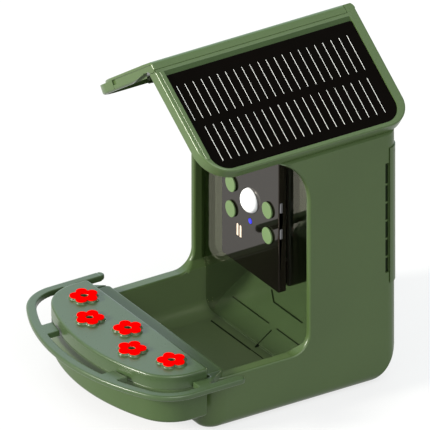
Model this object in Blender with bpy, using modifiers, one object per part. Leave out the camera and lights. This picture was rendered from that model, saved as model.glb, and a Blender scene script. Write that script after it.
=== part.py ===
# Bird feeder with gabled solar roof, camera hopper, seed tray and nectar cup.
# Metres, +Z up, +X to the object's right, -Y towards the birds.
# Origin: centre of the footprint box, on the surface the feeder stands on.
import math
import bpy
import bmesh
from mathutils import Matrix, Vector

MM = 0.001

# ---------------------------------------------------------------- dimensions (mm)
GAP = 0.3                      # clearance between touching pieces

BODY_HALF_W = 79.3             # outer half width of the housing
BODY_FRONT = -50.2             # outer face of the tray's front wall
BODY_BACK = 112.3              # outer face of the back wall
BODY_R_FRONT = 16.0            # vertical corner radius, front
BODY_R_BACK = 11.0             # vertical corner radius, back
BODY_R_BOTTOM = 10.4           # edge radius along the bottom, sides
FRONT_EDGE_SHARE = 0.35        # the front bottom edge is tighter
HEEL_R = 20.0                  # back bottom edge
FLOOR_Z = 6.1                  # top of the tray floor
TRAY_HALF_W = 69.5             # inner half width of the tray
TRAY_FRONT_IN = -41.8          # inner face of the tray's front wall
TRAY_R = 11.4                  # floor to wall radius
HOPPER_HALF_W = 73.9           # inner half width of the hopper
BACK_IN = 105.8                # inner face of the back wall
RIM_Z = 42.1                   # top of the tray rim
CUT_Y = 35.7                   # front rims of the side walls
CUT_R_LOW = 15.0
CUT_R_TOP = 39.3
CUT_TOP_Z = 162.9

ROOF_PITCH = math.radians(34.5)
RIDGE_Z = 265.0
ROOF_FRONT = -49.0
ROOF_BACK = 122.4
ROOF_S = 100.7                 # length of a slope from ridge to eave
ROOF_R = (25.0, 19.0)          # eave corner radii, front and back
ROOF_T = 9.8                   # depth of the roof's edge
ROOF_LIP = 3.4                 # thickness of the edge lip
ROOF_CEIL = 5.8                # top surface to the ceiling under the plate
HINGE_DROP = 3.0               # hinge axis below the ridge line
HINGE_R = 3.0
PIN_R = 1.0

PANEL_S0, PANEL_S1 = 13.3, 97.2
PANEL_Y0, PANEL_Y1 = -42.4, 114.7
PANEL_R = 14.0                 # panel corner radius at the eave
PANEL_POCKET = 3.4

WIN_Y0, WIN_Y1 = 42.3, 44.9    # hopper window faces
WIN_R = 9.0                    # lower corner radius of the window
WIN_BOTTOM = 10.6              # seed outlet below the window
BEZEL_Y0, BEZEL_Y1 = 35.9, 42.0
BEZEL_HALF_W = 37.9
BEZEL_Z0, BEZEL_Z1 = 70.7, 196.0
DOME_Z, DOME_R, DOME_OUT = 129.1, 9.4, 6.3
LENS_Z = 178.0
LED_Z = 112.4
CAP_X, CAP_Z0, CAP_Z1, CAP_R = 24.3, 111.8, 132.2, 6.3
BAR_X, BAR_Z = (-17.1, -13.1), 98.0
BUTTON_Z = (118.0, 139.0)

RAIL_X = 93.55                 # centre line of the rail's arms
RAIL_W = 7.2                   # rail width in plan
RAIL_Z0, RAIL_Z1 = 43.1, 47.4
RAIL_ARC, RAIL_CORNER = 159.25, 31.25
RAIL_FRONT = -120.25
RAIL_END = -32.3

CUP_HALF_W = 81.0
CUP_FRONT = -105.3
CUP_ARC, CUP_CORNER = 161.0, 32.0
CUP_BACK = -50.6
CUP_Z0 = 15.6
CUP_WALL = 2.4
LID_Z0, LID_Z1 = 50.4, 53.9
BOSS_Z = 55.3
PETAL_Z0, PETAL_Z1 = 55.6, 56.4
FLOWERS = [(-58.0, -67.6, 237.5), (0.0, -67.6, 237.5), (58.0, -67.6, 237.5),
           (-28.0, -82.2, 57.5), (28.0, -82.2, 57.5)]
FLOWER_HOLE = 2.45

COVER_Z0, COVER_Z1 = 79.0, 187.5   # rear cover, wrapped round both back corners
COVER_PROUD = 0.9
COVER_T = 3.0
COVER_Y = 103.6                # front edge of the cover on the side walls
COVER_CX, COVER_CY = BODY_HALF_W - BODY_R_BACK, BODY_BACK - BODY_R_BACK
COVER_R = BODY_R_BACK + COVER_PROUD

# ---------------------------------------------------------------- scene reset
for ob in list(bpy.data.objects):
    bpy.data.objects.remove(ob, do_unlink=True)

scene = bpy.context.scene
parts = bpy.data.collections.new("bird_feeder")
scene.collection.children.link(parts)
cutters = bpy.data.collections.new("cutters")
scene.collection.children.link(cutters)

FRAMES = {
    "XY": Matrix(((1, 0, 0), (0, 1, 0), (0, 0, 1))),
    "XZ": Matrix(((1, 0, 0), (0, 0, -1), (0, 1, 0))),
    "YZ": Matrix(((0, 0, 1), (1, 0, 0), (0, 1, 0))),
}


# ---------------------------------------------------------------- helpers
def material(name, rgb, rough, metal=0.0, alpha=1.0):
    mat = bpy.data.materials.new(name)
    mat.use_nodes = True
    b = mat.node_tree.nodes["Principled BSDF"]
    b.inputs["Base Color"].default_value = (rgb[0], rgb[1], rgb[2], 1.0)
    b.inputs["Roughness"].default_value = rough
    b.inputs["Metallic"].default_value = metal
    b.inputs["Alpha"].default_value = alpha
    return mat


def arc(cx, cy, r, a0, a1, n):
    return [(cx + r * math.cos(math.radians(a0 + (a1 - a0) * i / n)),
             cy + r * math.sin(math.radians(a0 + (a1 - a0) * i / n))) for i in range(n + 1)]


def rounded(x0, x1, y0, y1, r, n=5):
    """Rectangle outline; r is one radius or four (x0y0, x1y0, x1y1, x0y1)."""
    rr = r if isinstance(r, (tuple, list)) else (r, r, r, r)
    out = []
    for (cx, cy, sx, sy, rad, a) in ((x0, y0, 1, 1, rr[0], 180), (x1, y0, -1, 1, rr[1], 270),
                                     (x1, y1, -1, -1, rr[2], 0), (x0, y1, 1, -1, rr[3], 90)):
        if rad <= 0:
            out.append((cx, cy))
        else:
            out += arc(cx + sx * rad, cy + sy * rad, rad, a, a + 90, n)
    return out


def circle(cx, cy, r, n=24):
    return [(cx + r * math.cos(2 * math.pi * i / n), cy + r * math.sin(2 * math.pi * i / n)) for i in range(n)]


def outline_mesh(loops, half):
    """Flat outline with holes, as a filled 2D curve extruded both ways (mm in, metres out)."""
    cu = bpy.data.curves.new("outline", 'CURVE')
    cu.dimensions = '2D'
    cu.fill_mode = 'BOTH'
    cu.extrude = half * MM
    for pts in loops:
        sp = cu.splines.new('POLY')
        sp.points.add(len(pts) - 1)
        for p, (x, y) in zip(sp.points, pts):
            p.co = (x * MM, y * MM, 0.0, 1.0)
        sp.use_cyclic_u = True
    ob = bpy.data.objects.new("outline", cu)
    scene.collection.objects.link(ob)
    bpy.context.view_layer.update()
    me = bpy.data.meshes.new_from_object(ob.evaluated_get(bpy.context.evaluated_depsgraph_get()))
    bpy.data.objects.remove(ob, do_unlink=True)
    bm = bmesh.new()
    bm.from_mesh(me)
    bmesh.ops.remove_doubles(bm, verts=bm.verts, dist=1e-6)
    bmesh.ops.dissolve_limit(bm, angle_limit=math.radians(0.5), verts=bm.verts, edges=bm.edges)
    bmesh.ops.recalc_face_normals(bm, faces=bm.faces)
    return me, bm


def place(name, me, bm, mat=None, origin=None, coll=None, smooth=None):
    if origin is not None:
        bmesh.ops.translate(bm, verts=bm.verts, vec=-Vector(origin) * MM)
    bmesh.ops.recalc_face_normals(bm, faces=bm.faces)
    bm.to_mesh(me)
    bm.free()
    me.name = name
    ob = bpy.data.objects.new(name, me)
    if origin is not None:
        ob.location = Vector(origin) * MM
    (coll or parts).objects.link(ob)
    if mat is not None:
        me.materials.clear()
        me.materials.append(mat)
    if smooth:
        me.shade_smooth()
        me.set_sharp_from_angle(angle=math.radians(smooth))
    return ob


def prism(name, loops, lo, hi, frame="XY", mat=None, origin=None, coll=None, bevel=None, smooth=None, tilt=None):
    """Outline(s) extruded from lo to hi along the frame's third axis."""
    if isinstance(loops[0], tuple) and isinstance(loops[0][0], (int, float)):
        loops = [loops]
    me, bm = outline_mesh(loops, (hi - lo) / 2.0)
    mid = (hi + lo) / 2.0
    m3 = tilt if tilt is not None else FRAMES[frame]
    axis = Vector((0, 0, 1))
    shift = mid
    if tilt is None and frame == "XZ":
        shift = -mid                       # the third axis of XZ points to -Y
    bmesh.ops.translate(bm, verts=bm.verts, vec=axis * shift * MM)
    if bevel:
        for pick, width, segs in bevel:
            edges = [e for e in bm.edges if pick(e)]
            bmesh.ops.bevel(bm, geom=edges, offset=width * MM, segments=segs, profile=0.5,
                            affect='EDGES', clamp_overlap=True)
    bmesh.ops.transform(bm, matrix=m3.to_4x4(), verts=bm.verts)
    return place(name, me, bm, mat, origin, coll, smooth)


def box(name, x, y, z, mat=None, origin=None, coll=None, bevel=0.0, segs=2):
    me = bpy.data.meshes.new(name)
    bm = bmesh.new()
    bmesh.ops.create_cube(bm, size=1.0)
    bmesh.ops.scale(bm, vec=Vector((x[1] - x[0], y[1] - y[0], z[1] - z[0])) * MM, verts=bm.verts)
    bmesh.ops.translate(bm, vec=Vector(((x[0] + x[1]) / 2, (y[0] + y[1]) / 2, (z[0] + z[1]) / 2)) * MM,
                        verts=bm.verts)
    if bevel:
        bmesh.ops.bevel(bm, geom=list(bm.edges), offset=bevel * MM, segments=segs, profile=0.5,
                        affect='EDGES', clamp_overlap=True)
    return place(name, me, bm, mat, origin, coll)


def rod(name, p0, p1, r, mat=None, coll=None, n=20, r2=None, origin=None):
    """Round bar from p0 to p1 (mm)."""
    a, b = Vector(p0) * MM, Vector(p1) * MM
    d = b - a
    me = bpy.data.meshes.new(name)
    bm = bmesh.new()
    bmesh.ops.create_cone(bm, cap_ends=True, segments=n, radius1=r * MM, radius2=(r2 if r2 is not None else r) * MM,
                          depth=d.length)
    rot = Vector((0, 0, 1)).rotation_difference(d.normalized()).to_matrix().to_4x4()
    bmesh.ops.transform(bm, matrix=Matrix.Translation((a + b) / 2) @ rot, verts=bm.verts)
    return place(name, me, bm, mat, origin, coll, smooth=40)


def turned(name, profile, at, mat=None, steps=24, origin=None):
    """Closed profile of (radius, outward) pairs about an axis along -Y, made with a Screw modifier."""
    me = bpy.data.meshes.new(name)
    bm = bmesh.new()
    vs = [bm.verts.new((r * MM, 0.0, h * MM)) for r, h in profile]
    for a, b in zip(vs, vs[1:]):
        bm.edges.new((a, b))
    bm.to_mesh(me)
    bm.free()
    ob = bpy.data.objects.new(name, me)
    parts.objects.link(ob)
    ob.location = Vector(at) * MM
    ob.rotation_euler = (math.radians(90), 0, 0)
    sc = ob.modifiers.new("turn", 'SCREW')
    sc.axis = 'Z'
    sc.steps = steps
    sc.render_steps = steps
    sc.use_merge_vertices = True
    sc.merge_threshold = 0.00005
    sc.use_smooth_shade = True
    me.materials.append(mat)
    return ob


def cut(ob, tool, op='DIFFERENCE'):
    for c in list(tool.users_collection):
        c.objects.unlink(tool)
    cutters.objects.link(tool)
    tool.hide_render = True
    tool.display_type = 'WIRE'
    m = ob.modifiers.new(op.lower(), 'BOOLEAN')
    m.operation = op
    m.object = tool
    m.solver = 'EXACT'
    return ob


def tool_box(x, y, z, bevel=0.0, segs=2):
    return box("cut_box", x, y, z, coll=cutters, bevel=bevel, segs=segs)


def tool_rod(p0, p1, r, n=20):
    return rod("cut_rod", p0, p1, r, coll=cutters, n=n)


# ---------------------------------------------------------------- materials
green = material("green_body", (0.075, 0.130, 0.055), 0.38)
green_roof = material("green_roof", (0.080, 0.140, 0.058), 0.38)
green_nectar = material("green_nectar", (0.085, 0.145, 0.065), 0.38)
green_cap = material("green_cap", (0.23, 0.38, 0.17), 0.55)
red = material("flower_red", (0.85, 0.0, 0.0), 0.5)
black_gloss = material("black_gloss", (0.006, 0.006, 0.006), 0.06)
black_plastic = material("black_plastic", (0.012, 0.012, 0.012), 0.35)
clear = material("clear_window", (0.55, 0.65, 0.55), 0.03, alpha=0.35)
white_dome = material("white_dome", (0.85, 0.86, 0.88), 0.25)
led_blue = material("led_blue", (0.01, 0.01, 0.9), 0.3)
cream = material("light_cream", (0.8, 0.65, 0.5), 0.4)
steel = material("steel", (0.55, 0.56, 0.57), 0.3, 1.0)
brass = material("brass", (0.7, 0.5, 0.2), 0.3, 1.0)
board_green = material("board", (0.02, 0.12, 0.05), 0.5)
battery_blue = material("battery", (0.05, 0.10, 0.35), 0.5)
rubber = material("rubber_seal", (0.03, 0.03, 0.03), 0.8)
grey_button = material("grey_button", (0.16, 0.16, 0.17), 0.5)
panel_black = material("panel_black", (0.008, 0.007, 0.006), 0.12)
cells_dark = material("cells_dark", (0.01, 0.01, 0.014), 0.3)


# ---------------------------------------------------------------- shared outlines
def cup_outline(inset=0.0, back=CUP_BACK, n_arc=12, n_corner=8):
    """Half-moon plan: straight back, rounded corners, one large front arc."""
    half = CUP_HALF_W - inset
    big = CUP_ARC - inset
    cr = CUP_CORNER - inset
    cy = CUP_FRONT + CUP_ARC
    ccx = half - cr
    ccy = cy - math.sqrt((big - cr) ** 2 - ccx ** 2)
    join = math.degrees(math.atan2(ccy - cy, ccx))          # direction centre -> corner centre
    pts = [(half, back - inset)]
    right = arc(ccx, ccy, cr, 0, join, n_corner)
    front = arc(0, cy, big, join, -180 - join, n_arc)
    left = arc(-ccx, ccy, cr, -180 - join, -180, n_corner)
    pts += right + front[1:-1] + left
    pts.append((-half, back - inset))
    return pts


def flower_outline(cx, cy, turn, d=6.2, r=4.0, per=6):
    """Five round petals."""
    out = []
    for k in range(5):
        for i in range(per):
            phi = math.radians(-36 + 72 * i / per)
            rad = d * math.cos(phi) + math.sqrt(max(r * r - (d * math.sin(phi)) ** 2, 0.0))
            a = math.radians(turn + 72 * k) + phi
            out.append((cx + rad * math.cos(a), cy + rad * math.sin(a)))
    return out


def slope_matrix(side):
    """Local axes of a roof slope: down the slope, along Y, outward normal."""
    c, s = math.cos(ROOF_PITCH), math.sin(ROOF_PITCH)
    return Matrix(((c, 0, s), (0, 1, 0), (-s, 0, c))), side


def roof_z(x, drop):
    """Height of a plane that lies `drop` under the roof's top surface."""
    return RIDGE_Z - math.tan(ROOF_PITCH) * abs(x) - drop / math.cos(ROOF_PITCH)


# ---------------------------------------------------------------- main housing
outer = rounded(-BODY_HALF_W, BODY_HALF_W, BODY_FRONT, BODY_BACK,
                (BODY_R_FRONT, BODY_R_FRONT, BODY_R_BACK, BODY_R_BACK), 6)
main = prism("main_housing", outer, 0.0, 270.0, "XY", green, smooth=30)


def bottom_share(y):
    """Share of the full bottom radius: tight along the front, full from the end of the corner."""
    t = min(max((y - BODY_FRONT) / BODY_R_FRONT, 0.0), 1.0)
    return FRONT_EDGE_SHARE + (1.0 - FRONT_EDGE_SHARE) * t


weights = main.data.attributes.new("bevel_weight_edge", 'FLOAT', 'EDGE')
for e in main.data.edges:
    a, b = (main.data.vertices[i].co for i in e.vertices)
    if a.z < 1e-6 and b.z < 1e-6:
        weights.data[e.index].value = bottom_share((a.y + b.y) / 2 / MM)
bev = main.modifiers.new("bottom_edge", 'BEVEL')
bev.limit_method = 'WEIGHT'
bev.width = BODY_R_BOTTOM * MM
bev.segments = 5

# rounded heel along the back of the base
heel = arc(BODY_BACK - HEEL_R, HEEL_R, HEEL_R, -90, 0, 8)
heel += [(BODY_BACK + 5, HEEL_R), (BODY_BACK + 5, -5), (BODY_BACK - HEEL_R, -5)]
cut(main, prism("cut_heel", heel, -90.0, 90.0, "YZ", coll=cutters))

side_x = 95.0
gable = [(-side_x, -5), (side_x, -5), (side_x, roof_z(side_x, ROOF_CEIL + GAP)),
         (12.5, roof_z(12.5, ROOF_CEIL + GAP)), (-12.5, roof_z(12.5, ROOF_CEIL + GAP)),
         (-side_x, roof_z(side_x, ROOF_CEIL + GAP))]
cut(main, prism("cut_gable", gable, -60.0, 120.0, "XZ", coll=cutters), 'INTERSECT')

# front opening between the side walls, seen from the side
c_cut = [(-70, RIM_Z)]
c_cut += arc(CUT_Y - CUT_R_LOW, RIM_Z + CUT_R_LOW, CUT_R_LOW, -90, 0, 6)
c_cut += arc(CUT_Y - CUT_R_TOP, CUT_TOP_Z, CUT_R_TOP, 0, 90, 10)
c_cut += [(CUT_Y - CUT_R_TOP, 290), (-70, 290)]
cut(main, prism("cut_front", c_cut, -90.0, 90.0, "YZ", coll=cutters))

# rebate under the edge lips of both roof slopes
for sx in (-1, 1):
    ring = [rounded(20, ROOF_S + 4, ROOF_FRONT - 4, ROOF_BACK + 4, (0, 19, 19, 0), 5),
            rounded(24, ROOF_S - ROOF_LIP - GAP, ROOF_FRONT + ROOF_LIP + GAP, ROOF_BACK - ROOF_LIP - GAP,
                    (0, ROOF_R[0] - ROOF_LIP - GAP, ROOF_R[1] - ROOF_LIP - GAP, 0), 7)]
    me, bm = outline_mesh(ring, 3.0)
    bmesh.ops.translate(bm, verts=bm.verts, vec=(0, 0, -(ROOF_T + GAP - 3.0) * MM))
    cp, sp_ = math.cos(ROOF_PITCH), math.sin(ROOF_PITCH)
    bmesh.ops.transform(bm, matrix=Matrix(((sx * cp, 0, sx * sp_), (0, 1, 0), (-sp_, 0, cp))).to_4x4(), verts=bm.verts)
    bmesh.ops.translate(bm, verts=bm.verts, vec=(0, 0, RIDGE_Z * MM))
    cut(main, place("cut_lips", me, bm, coll=cutters))

# inside of tray and hopper
inside = arc(-TRAY_HALF_W + TRAY_R, FLOOR_Z + TRAY_R, TRAY_R, 180, 270, 5)
inside += arc(TRAY_HALF_W - TRAY_R, FLOOR_Z + TRAY_R, TRAY_R, 270, 360, 5)
inside += [(TRAY_HALF_W, 43.2), (HOPPER_HALF_W, 48.0), (HOPPER_HALF_W, 290), (-HOPPER_HALF_W, 290),
           (-HOPPER_HALF_W, 48.0), (-TRAY_HALF_W, 43.2)]
cut(main, prism("cut_inside", inside, TRAY_FRONT_IN, BACK_IN, "XZ", coll=cutters))

# battery bay on the inside of the back wall, open to the rear
cut(main, tool_box((-50, 50), (95, 108), (88, 182)), 'UNION')
cut(main, tool_box((-47, 47), (98, 116), (91, 179)))

# step that the rear cover fills flush with the walls
STEP_Y = COVER_Y - GAP
step_r = COVER_R - COVER_T - GAP
step_in = arc(COVER_CX, COVER_CY, step_r, math.degrees(math.asin((STEP_Y - COVER_CY) / step_r)), 90, 5)
step_in = [(90, STEP_Y)] + step_in + [(-x, y) for x, y in reversed(step_in)] + [(-90, STEP_Y), (-90, 125), (90, 125)]
cut(main, prism("cut_step", step_in, COVER_Z0 - GAP, COVER_Z1 + GAP, "XY", coll=cutters))

# grooves that hold the hopper window
for sx in (-1, 1):
    x0, x1 = sorted((sx * (HOPPER_HALF_W - 1), sx * (HOPPER_HALF_W + 1.6)))
    cut(main, tool_box((x0, x1), (WIN_Y0 - 0.4, WIN_Y1 + 0.4), (48.5, 260)))

# ribbed slots down both side walls in front of the rear cover
for sx in (-1, 1):
    for k in range(6):
        z0 = 87.5 + 14.6 * k
        x0, x1 = sorted((sx * (BODY_HALF_W - 3.0), sx * (BODY_HALF_W + 2)))
        cut(main, tool_box((x0, x1), (99.9, 102.7), (z0, z0 + 13.0)))

# recess for the pole insert
cut(main, tool_rod((0, 32, -2), (0, 32, 4.6), 7.3, 24))
# screw holes for the mounting plate
for sx in (-1, 1):
    cut(main, tool_rod((sx * 24, 103, 26.5), (sx * 24, 118, 26.5), 1.9, 12))

rod("pole_insert", (0, 32, 0.5), (0, 32, 4.3), 7.0, brass, n=24)
cut(bpy.data.objects["pole_insert"], tool_rod((0, 32, -1), (0, 32, 3.4), 3.2, 16))

# ---------------------------------------------------------------- roof
slope = slope_matrix(1)[0]
roof_plan = rounded(-12, ROOF_S, ROOF_FRONT, ROOF_BACK, (0, ROOF_R[0], ROOF_R[1], 0), 7)
pocket_plan = rounded(9.5, ROOF_S - ROOF_LIP, ROOF_FRONT + ROOF_LIP, ROOF_BACK - ROOF_LIP,
                      (1, ROOF_R[0] - ROOF_LIP, ROOF_R[1] - ROOF_LIP, 1), 5)
HINGE = (0.0, 0.0, RIDGE_Z - HINGE_DROP)
bounds_y = [ROOF_FRONT, -14.0, 20.0, 54.0, 88.0, ROOF_BACK]


def slope_piece(name, sx, mat, origin=None):
    """One roof slope: slab, mitre at the ridge, hollow underside, knuckles on the hinge axis."""
    m3 = Matrix(((sx * slope[0][0], 0, sx * slope[0][2]), (0, 1, 0), tuple(slope[2])))
    me, bm = outline_mesh([roof_plan], ROOF_T / 2)
    bmesh.ops.translate(bm, verts=bm.verts, vec=(0, 0, -ROOF_T / 2 * MM))
    edges = [e for e in bm.edges if all(v.co.z > -1e-6 for v in e.verts)
             and any(v.co.x > 0 for v in e.verts)]
    bmesh.ops.bevel(bm, geom=edges, offset=1.2 * MM, segments=2, profile=0.5, affect='EDGES')
    bmesh.ops.transform(bm, matrix=m3.to_4x4(), verts=bm.verts)
    bmesh.ops.translate(bm, verts=bm.verts, vec=(0, 0, RIDGE_Z * MM))
    ob = place(name, me, bm, mat, origin, smooth=30)
    x0, x1 = sorted((0.2 * sx, -40 * sx))
    cut(ob, tool_box((x0, x1), (-70, 140), (200, 290)))
    # hollow underside
    me, bm = outline_mesh([pocket_plan], (ROOF_T + 4 - ROOF_CEIL) / 2)
    bmesh.ops.translate(bm, verts=bm.verts, vec=(0, 0, -(ROOF_T + 4 + ROOF_CEIL) / 2 * MM))
    bmesh.ops.transform(bm, matrix=m3.to_4x4(), verts=bm.verts)
    bmesh.ops.translate(bm, verts=bm.verts, vec=(0, 0, RIDGE_Z * MM))
    cut(ob, place("cut_under", me, bm, coll=cutters))
    own = (0, 2, 4) if sx < 0 else (1, 3)
    for k in range(5):
        y0, y1 = bounds_y[k], bounds_y[k + 1]
        if k in own:
            a = y0 + (0.4 if k == 0 else GAP)
            b = y1 - (0.4 if k == 4 else GAP)
            cut(ob, tool_rod((0, a, HINGE[2]), (0, b, HINGE[2]), HINGE_R, 20), 'UNION')
        else:
            cut(ob, tool_rod((0, y0 - (5 if k == 0 else 0), HINGE[2]), (0, y1 + (5 if k == 4 else 0), HINGE[2]),
                             HINGE_R + 0.45, 20))
    cut(ob, tool_rod((0, -60, HINGE[2]), (0, 117, HINGE[2]), PIN_R + GAP, 12))
    return ob, m3


left, left_m3 = slope_piece("roof_left", -1, green_roof)
lid, lid_m3 = slope_piece("solar_frame", 1, green_roof, origin=HINGE)

rod("hinge_pin", (0, ROOF_FRONT + 1.0, HINGE[2]), (0, 116.5, HINGE[2]), PIN_R, steel, n=12)


def on_slope(name, loops, top, bottom, mat, origin=None, coll=None):
    """Flat piece lying in the solar slope, between two depths under its top surface."""
    if isinstance(loops[0], tuple) and isinstance(loops[0][0], (int, float)):
        loops = [loops]
    me, bm = outline_mesh(loops, (bottom - top) / 2)
    bmesh.ops.translate(bm, verts=bm.verts, vec=(0, 0, -(top + bottom) / 2 * MM))
    bmesh.ops.transform(bm, matrix=lid_m3.to_4x4(), verts=bm.verts)
    bmesh.ops.translate(bm, verts=bm.verts, vec=(0, 0, RIDGE_Z * MM))
    return place(name, me, bm, mat, origin, coll)


def panel_plan(grow):
    return rounded(PANEL_S0 - grow, PANEL_S1 + grow, PANEL_Y0 - grow, PANEL_Y1 + grow,
                   (1.5, PANEL_R + grow, PANEL_R + grow, 1.5), 6)


cut(lid, on_slope("cut_panel", panel_plan(GAP), -2.0, PANEL_POCKET, None, coll=cutters))
on_slope("solar_cells", panel_plan(0), 2.1, 3.1, cells_dark, HINGE)
on_slope("solar_glass", panel_plan(0), 0.6, 1.8, panel_black, HINGE)
on_slope("junction_box", rounded(22, 50, 50, 82, 3, 3), ROOF_CEIL + GAP, ROOF_CEIL + 9, black_plastic, HINGE)

# ---------------------------------------------------------------- hopper window and ramp
wz = roof_z(HOPPER_HALF_W - 1.2, ROOF_CEIL + 2 * GAP)
top_z = roof_z(12.5, ROOF_CEIL + 2 * GAP)
low = TRAY_HALF_W - GAP - 0.3
window = arc(low - WIN_R, WIN_BOTTOM + WIN_R, WIN_R, -90, 0, 5)
window += [(low, 43.2), (HOPPER_HALF_W - 0.6, 49.0), (HOPPER_HALF_W + 1.2, 49.0), (HOPPER_HALF_W + 1.2, 198.5),
           (HOPPER_HALF_W - 1.2, 202.0), (HOPPER_HALF_W - 1.2, wz),
           (12.5, top_z), (-12.5, top_z), (-HOPPER_HALF_W + 1.2, wz), (-HOPPER_HALF_W + 1.2, 202.0),
           (-HOPPER_HALF_W - 1.2, 198.5), (-HOPPER_HALF_W - 1.2, 49.0),
           (-HOPPER_HALF_W + 0.6, 49.0), (-low, 43.2)]
window += arc(-low + WIN_R, WIN_BOTTOM + WIN_R, WIN_R, 180, 270, 5)
hole = rounded(-33, 33, 76, 190, 4, 3)
prism("hopper_window", [window, hole], WIN_Y0, WIN_Y1, "XZ", clear)

RAMP_Y0, RAMP_Y1, RAMP_TOP = WIN_Y1 + 1.2, BACK_IN - 0.4, 48.0
ramp_side = [(RAMP_Y0, FLOOR_Z + GAP), (RAMP_Y1, FLOOR_Z + GAP), (RAMP_Y1, RAMP_TOP), (RAMP_Y0 + 2, 9.8),
             (RAMP_Y0, 8.4)]
half_ramp = TRAY_HALF_W - GAP
ramp = prism("seed_ramp", ramp_side, -half_ramp, half_ramp, "YZ", green)
# trim the ramp to the tray's rounded inside
trim = arc(-half_ramp + TRAY_R, FLOOR_Z + GAP + TRAY_R, TRAY_R, 180, 270, 5)
trim += arc(half_ramp - TRAY_R, FLOOR_Z + GAP + TRAY_R, TRAY_R, 270, 360, 5)
trim += [(half_ramp, 43.0), (-half_ramp, 43.0)]
cut(ramp, prism("cut_ramp", trim, 30.0, 120.0, "XZ", coll=cutters), 'INTERSECT')

# ---------------------------------------------------------------- camera
face = rounded(-BEZEL_HALF_W, BEZEL_HALF_W, BEZEL_Z0, BEZEL_Z1, (1.2, 1.2, 8, 8), 3)
holes = [circle(0, LENS_Z, 11.4, 28), circle(0, DOME_Z, DOME_R + GAP, 28), circle(0, LED_Z, 2.4, 14)]
for bx in BAR_X:
    holes.append(rounded(bx - 1.5, bx + 1.5, BAR_Z - 5.1, BAR_Z + 5.1, 1.0, 2))
for sx in (-1, 1):
    for cz in (CAP_Z0, CAP_Z1):
        holes.append(circle(sx * CAP_X, cz, 1.6, 10))
bezel = prism("camera_bezel", [face] + holes, BEZEL_Y0, BEZEL_Y1, "XZ", black_gloss)
for sx in (-1, 1):
    for cz in (CAP_Z0, CAP_Z1):
        cut(bezel, tool_rod((sx * CAP_X, 34, cz), (sx * CAP_X, 38.2, cz), 3.4, 14))
for bz in BUTTON_Z:
    cut(bezel, tool_box((34.0, 40.0), (36.6, 39.4), (bz - 4.3, bz + 4.3)))

shell = box("camera_housing", (-36.5, 36.5), (WIN_Y1 + GAP, 80.0), (72.0, 194.5), black_plastic, bevel=2.0, segs=2)
cut(shell, tool_box((-34.3, 34.3), (40.0, 77.8), (74.2, 192.3)))
for sx in (-1, 1):
    for cz in (CAP_Z0, CAP_Z1):
        cut(shell, tool_rod((sx * CAP_X, WIN_Y1 + 0.6, cz), (sx * CAP_X, 78.6, cz), 3.6, 14), 'UNION')
        cut(shell, tool_rod((sx * CAP_X, 40, cz), (sx * CAP_X, 60, cz), 1.5, 10))
cut(shell, tool_box((-5.0, 5.0), (63.0, 67.0), (70.0, 76.0)))

n = 0
for sx in (-1, 1):
    for cz in (CAP_Z0, CAP_Z1):
        n += 1
        screw = rod("camera_screw_%d" % n, (sx * CAP_X, 36.3, cz), (sx * CAP_X, 37.9, cz), 3.0, steel, n=14)
        cut(screw, tool_rod((sx * CAP_X, 37.0, cz), (sx * CAP_X, 56, cz), 1.2, 10), 'UNION')
        cap = rod("cap_plug_%d" % n, (sx * CAP_X, 35.6, cz), (sx * CAP_X, 34.1, cz), CAP_R, green_cap, n=28)

dome_prof = [(0.0, DOME_OUT)]
for i in range(1, 8):
    a = math.radians(90 - 90 * i / 8)
    dome_prof.append((DOME_R * math.cos(a), DOME_OUT * math.sin(a)))
dome_prof += [(DOME_R, 0.0), (DOME_R, -2.6), (0.0, -2.6)]
turned("sensor_dome", dome_prof, (0, BEZEL_Y0, DOME_Z), white_dome, 28)

barrel = rod("lens_barrel", (0, 34.4, LENS_Z), (0, 59.6, LENS_Z), 11.0, black_plastic, n=28)
cut(barrel, tool_rod((0, 33, LENS_Z), (0, 42, LENS_Z), 8.2, 24))
glass_prof = [(0.0, 3.6), (2.6, 3.4), (5.0, 2.8), (7.0, 1.8), (7.8, 1.2), (7.8, 0.0), (0.0, 0.0)]
turned("lens_glass", glass_prof, (0, 40.0, LENS_Z), black_gloss, 24)

rod("status_led", (0, 35.7, LED_Z), (0, 39.6, LED_Z), 2.05, led_blue, n=14)
for i, bx in enumerate(BAR_X):
    box("light_bar_%d" % (i + 1), (bx - 1.2, bx + 1.2), (35.75, 39.6), (BAR_Z - 4.8, BAR_Z + 4.8), cream,
        bevel=0.5, segs=1)
for nm, bz in zip(("reset_button", "power_button"), BUTTON_Z):
    box(nm, (35.2, 38.5), (36.9, 39.1), (bz - 4.0, bz + 4.0), grey_button, origin=(38.5, 38.0, bz), bevel=0.4, segs=1)

box("main_board", (-19.5, 19.5), (60.0, 61.6), (80.0, 189.0), board_green)
rod("speaker", (0, 52.0, 92.0), (0, 59.6, 92.0), 9.0, black_plastic, n=20)
box("charge_socket", (-4.5, 4.5), (63.4, 66.6), (72.4, 79.5), steel, bevel=0.6, segs=1)
box("battery", (-44, 44), (98.8, 108.6), (96, 174), battery_blue, bevel=1.0, segs=1)

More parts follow.
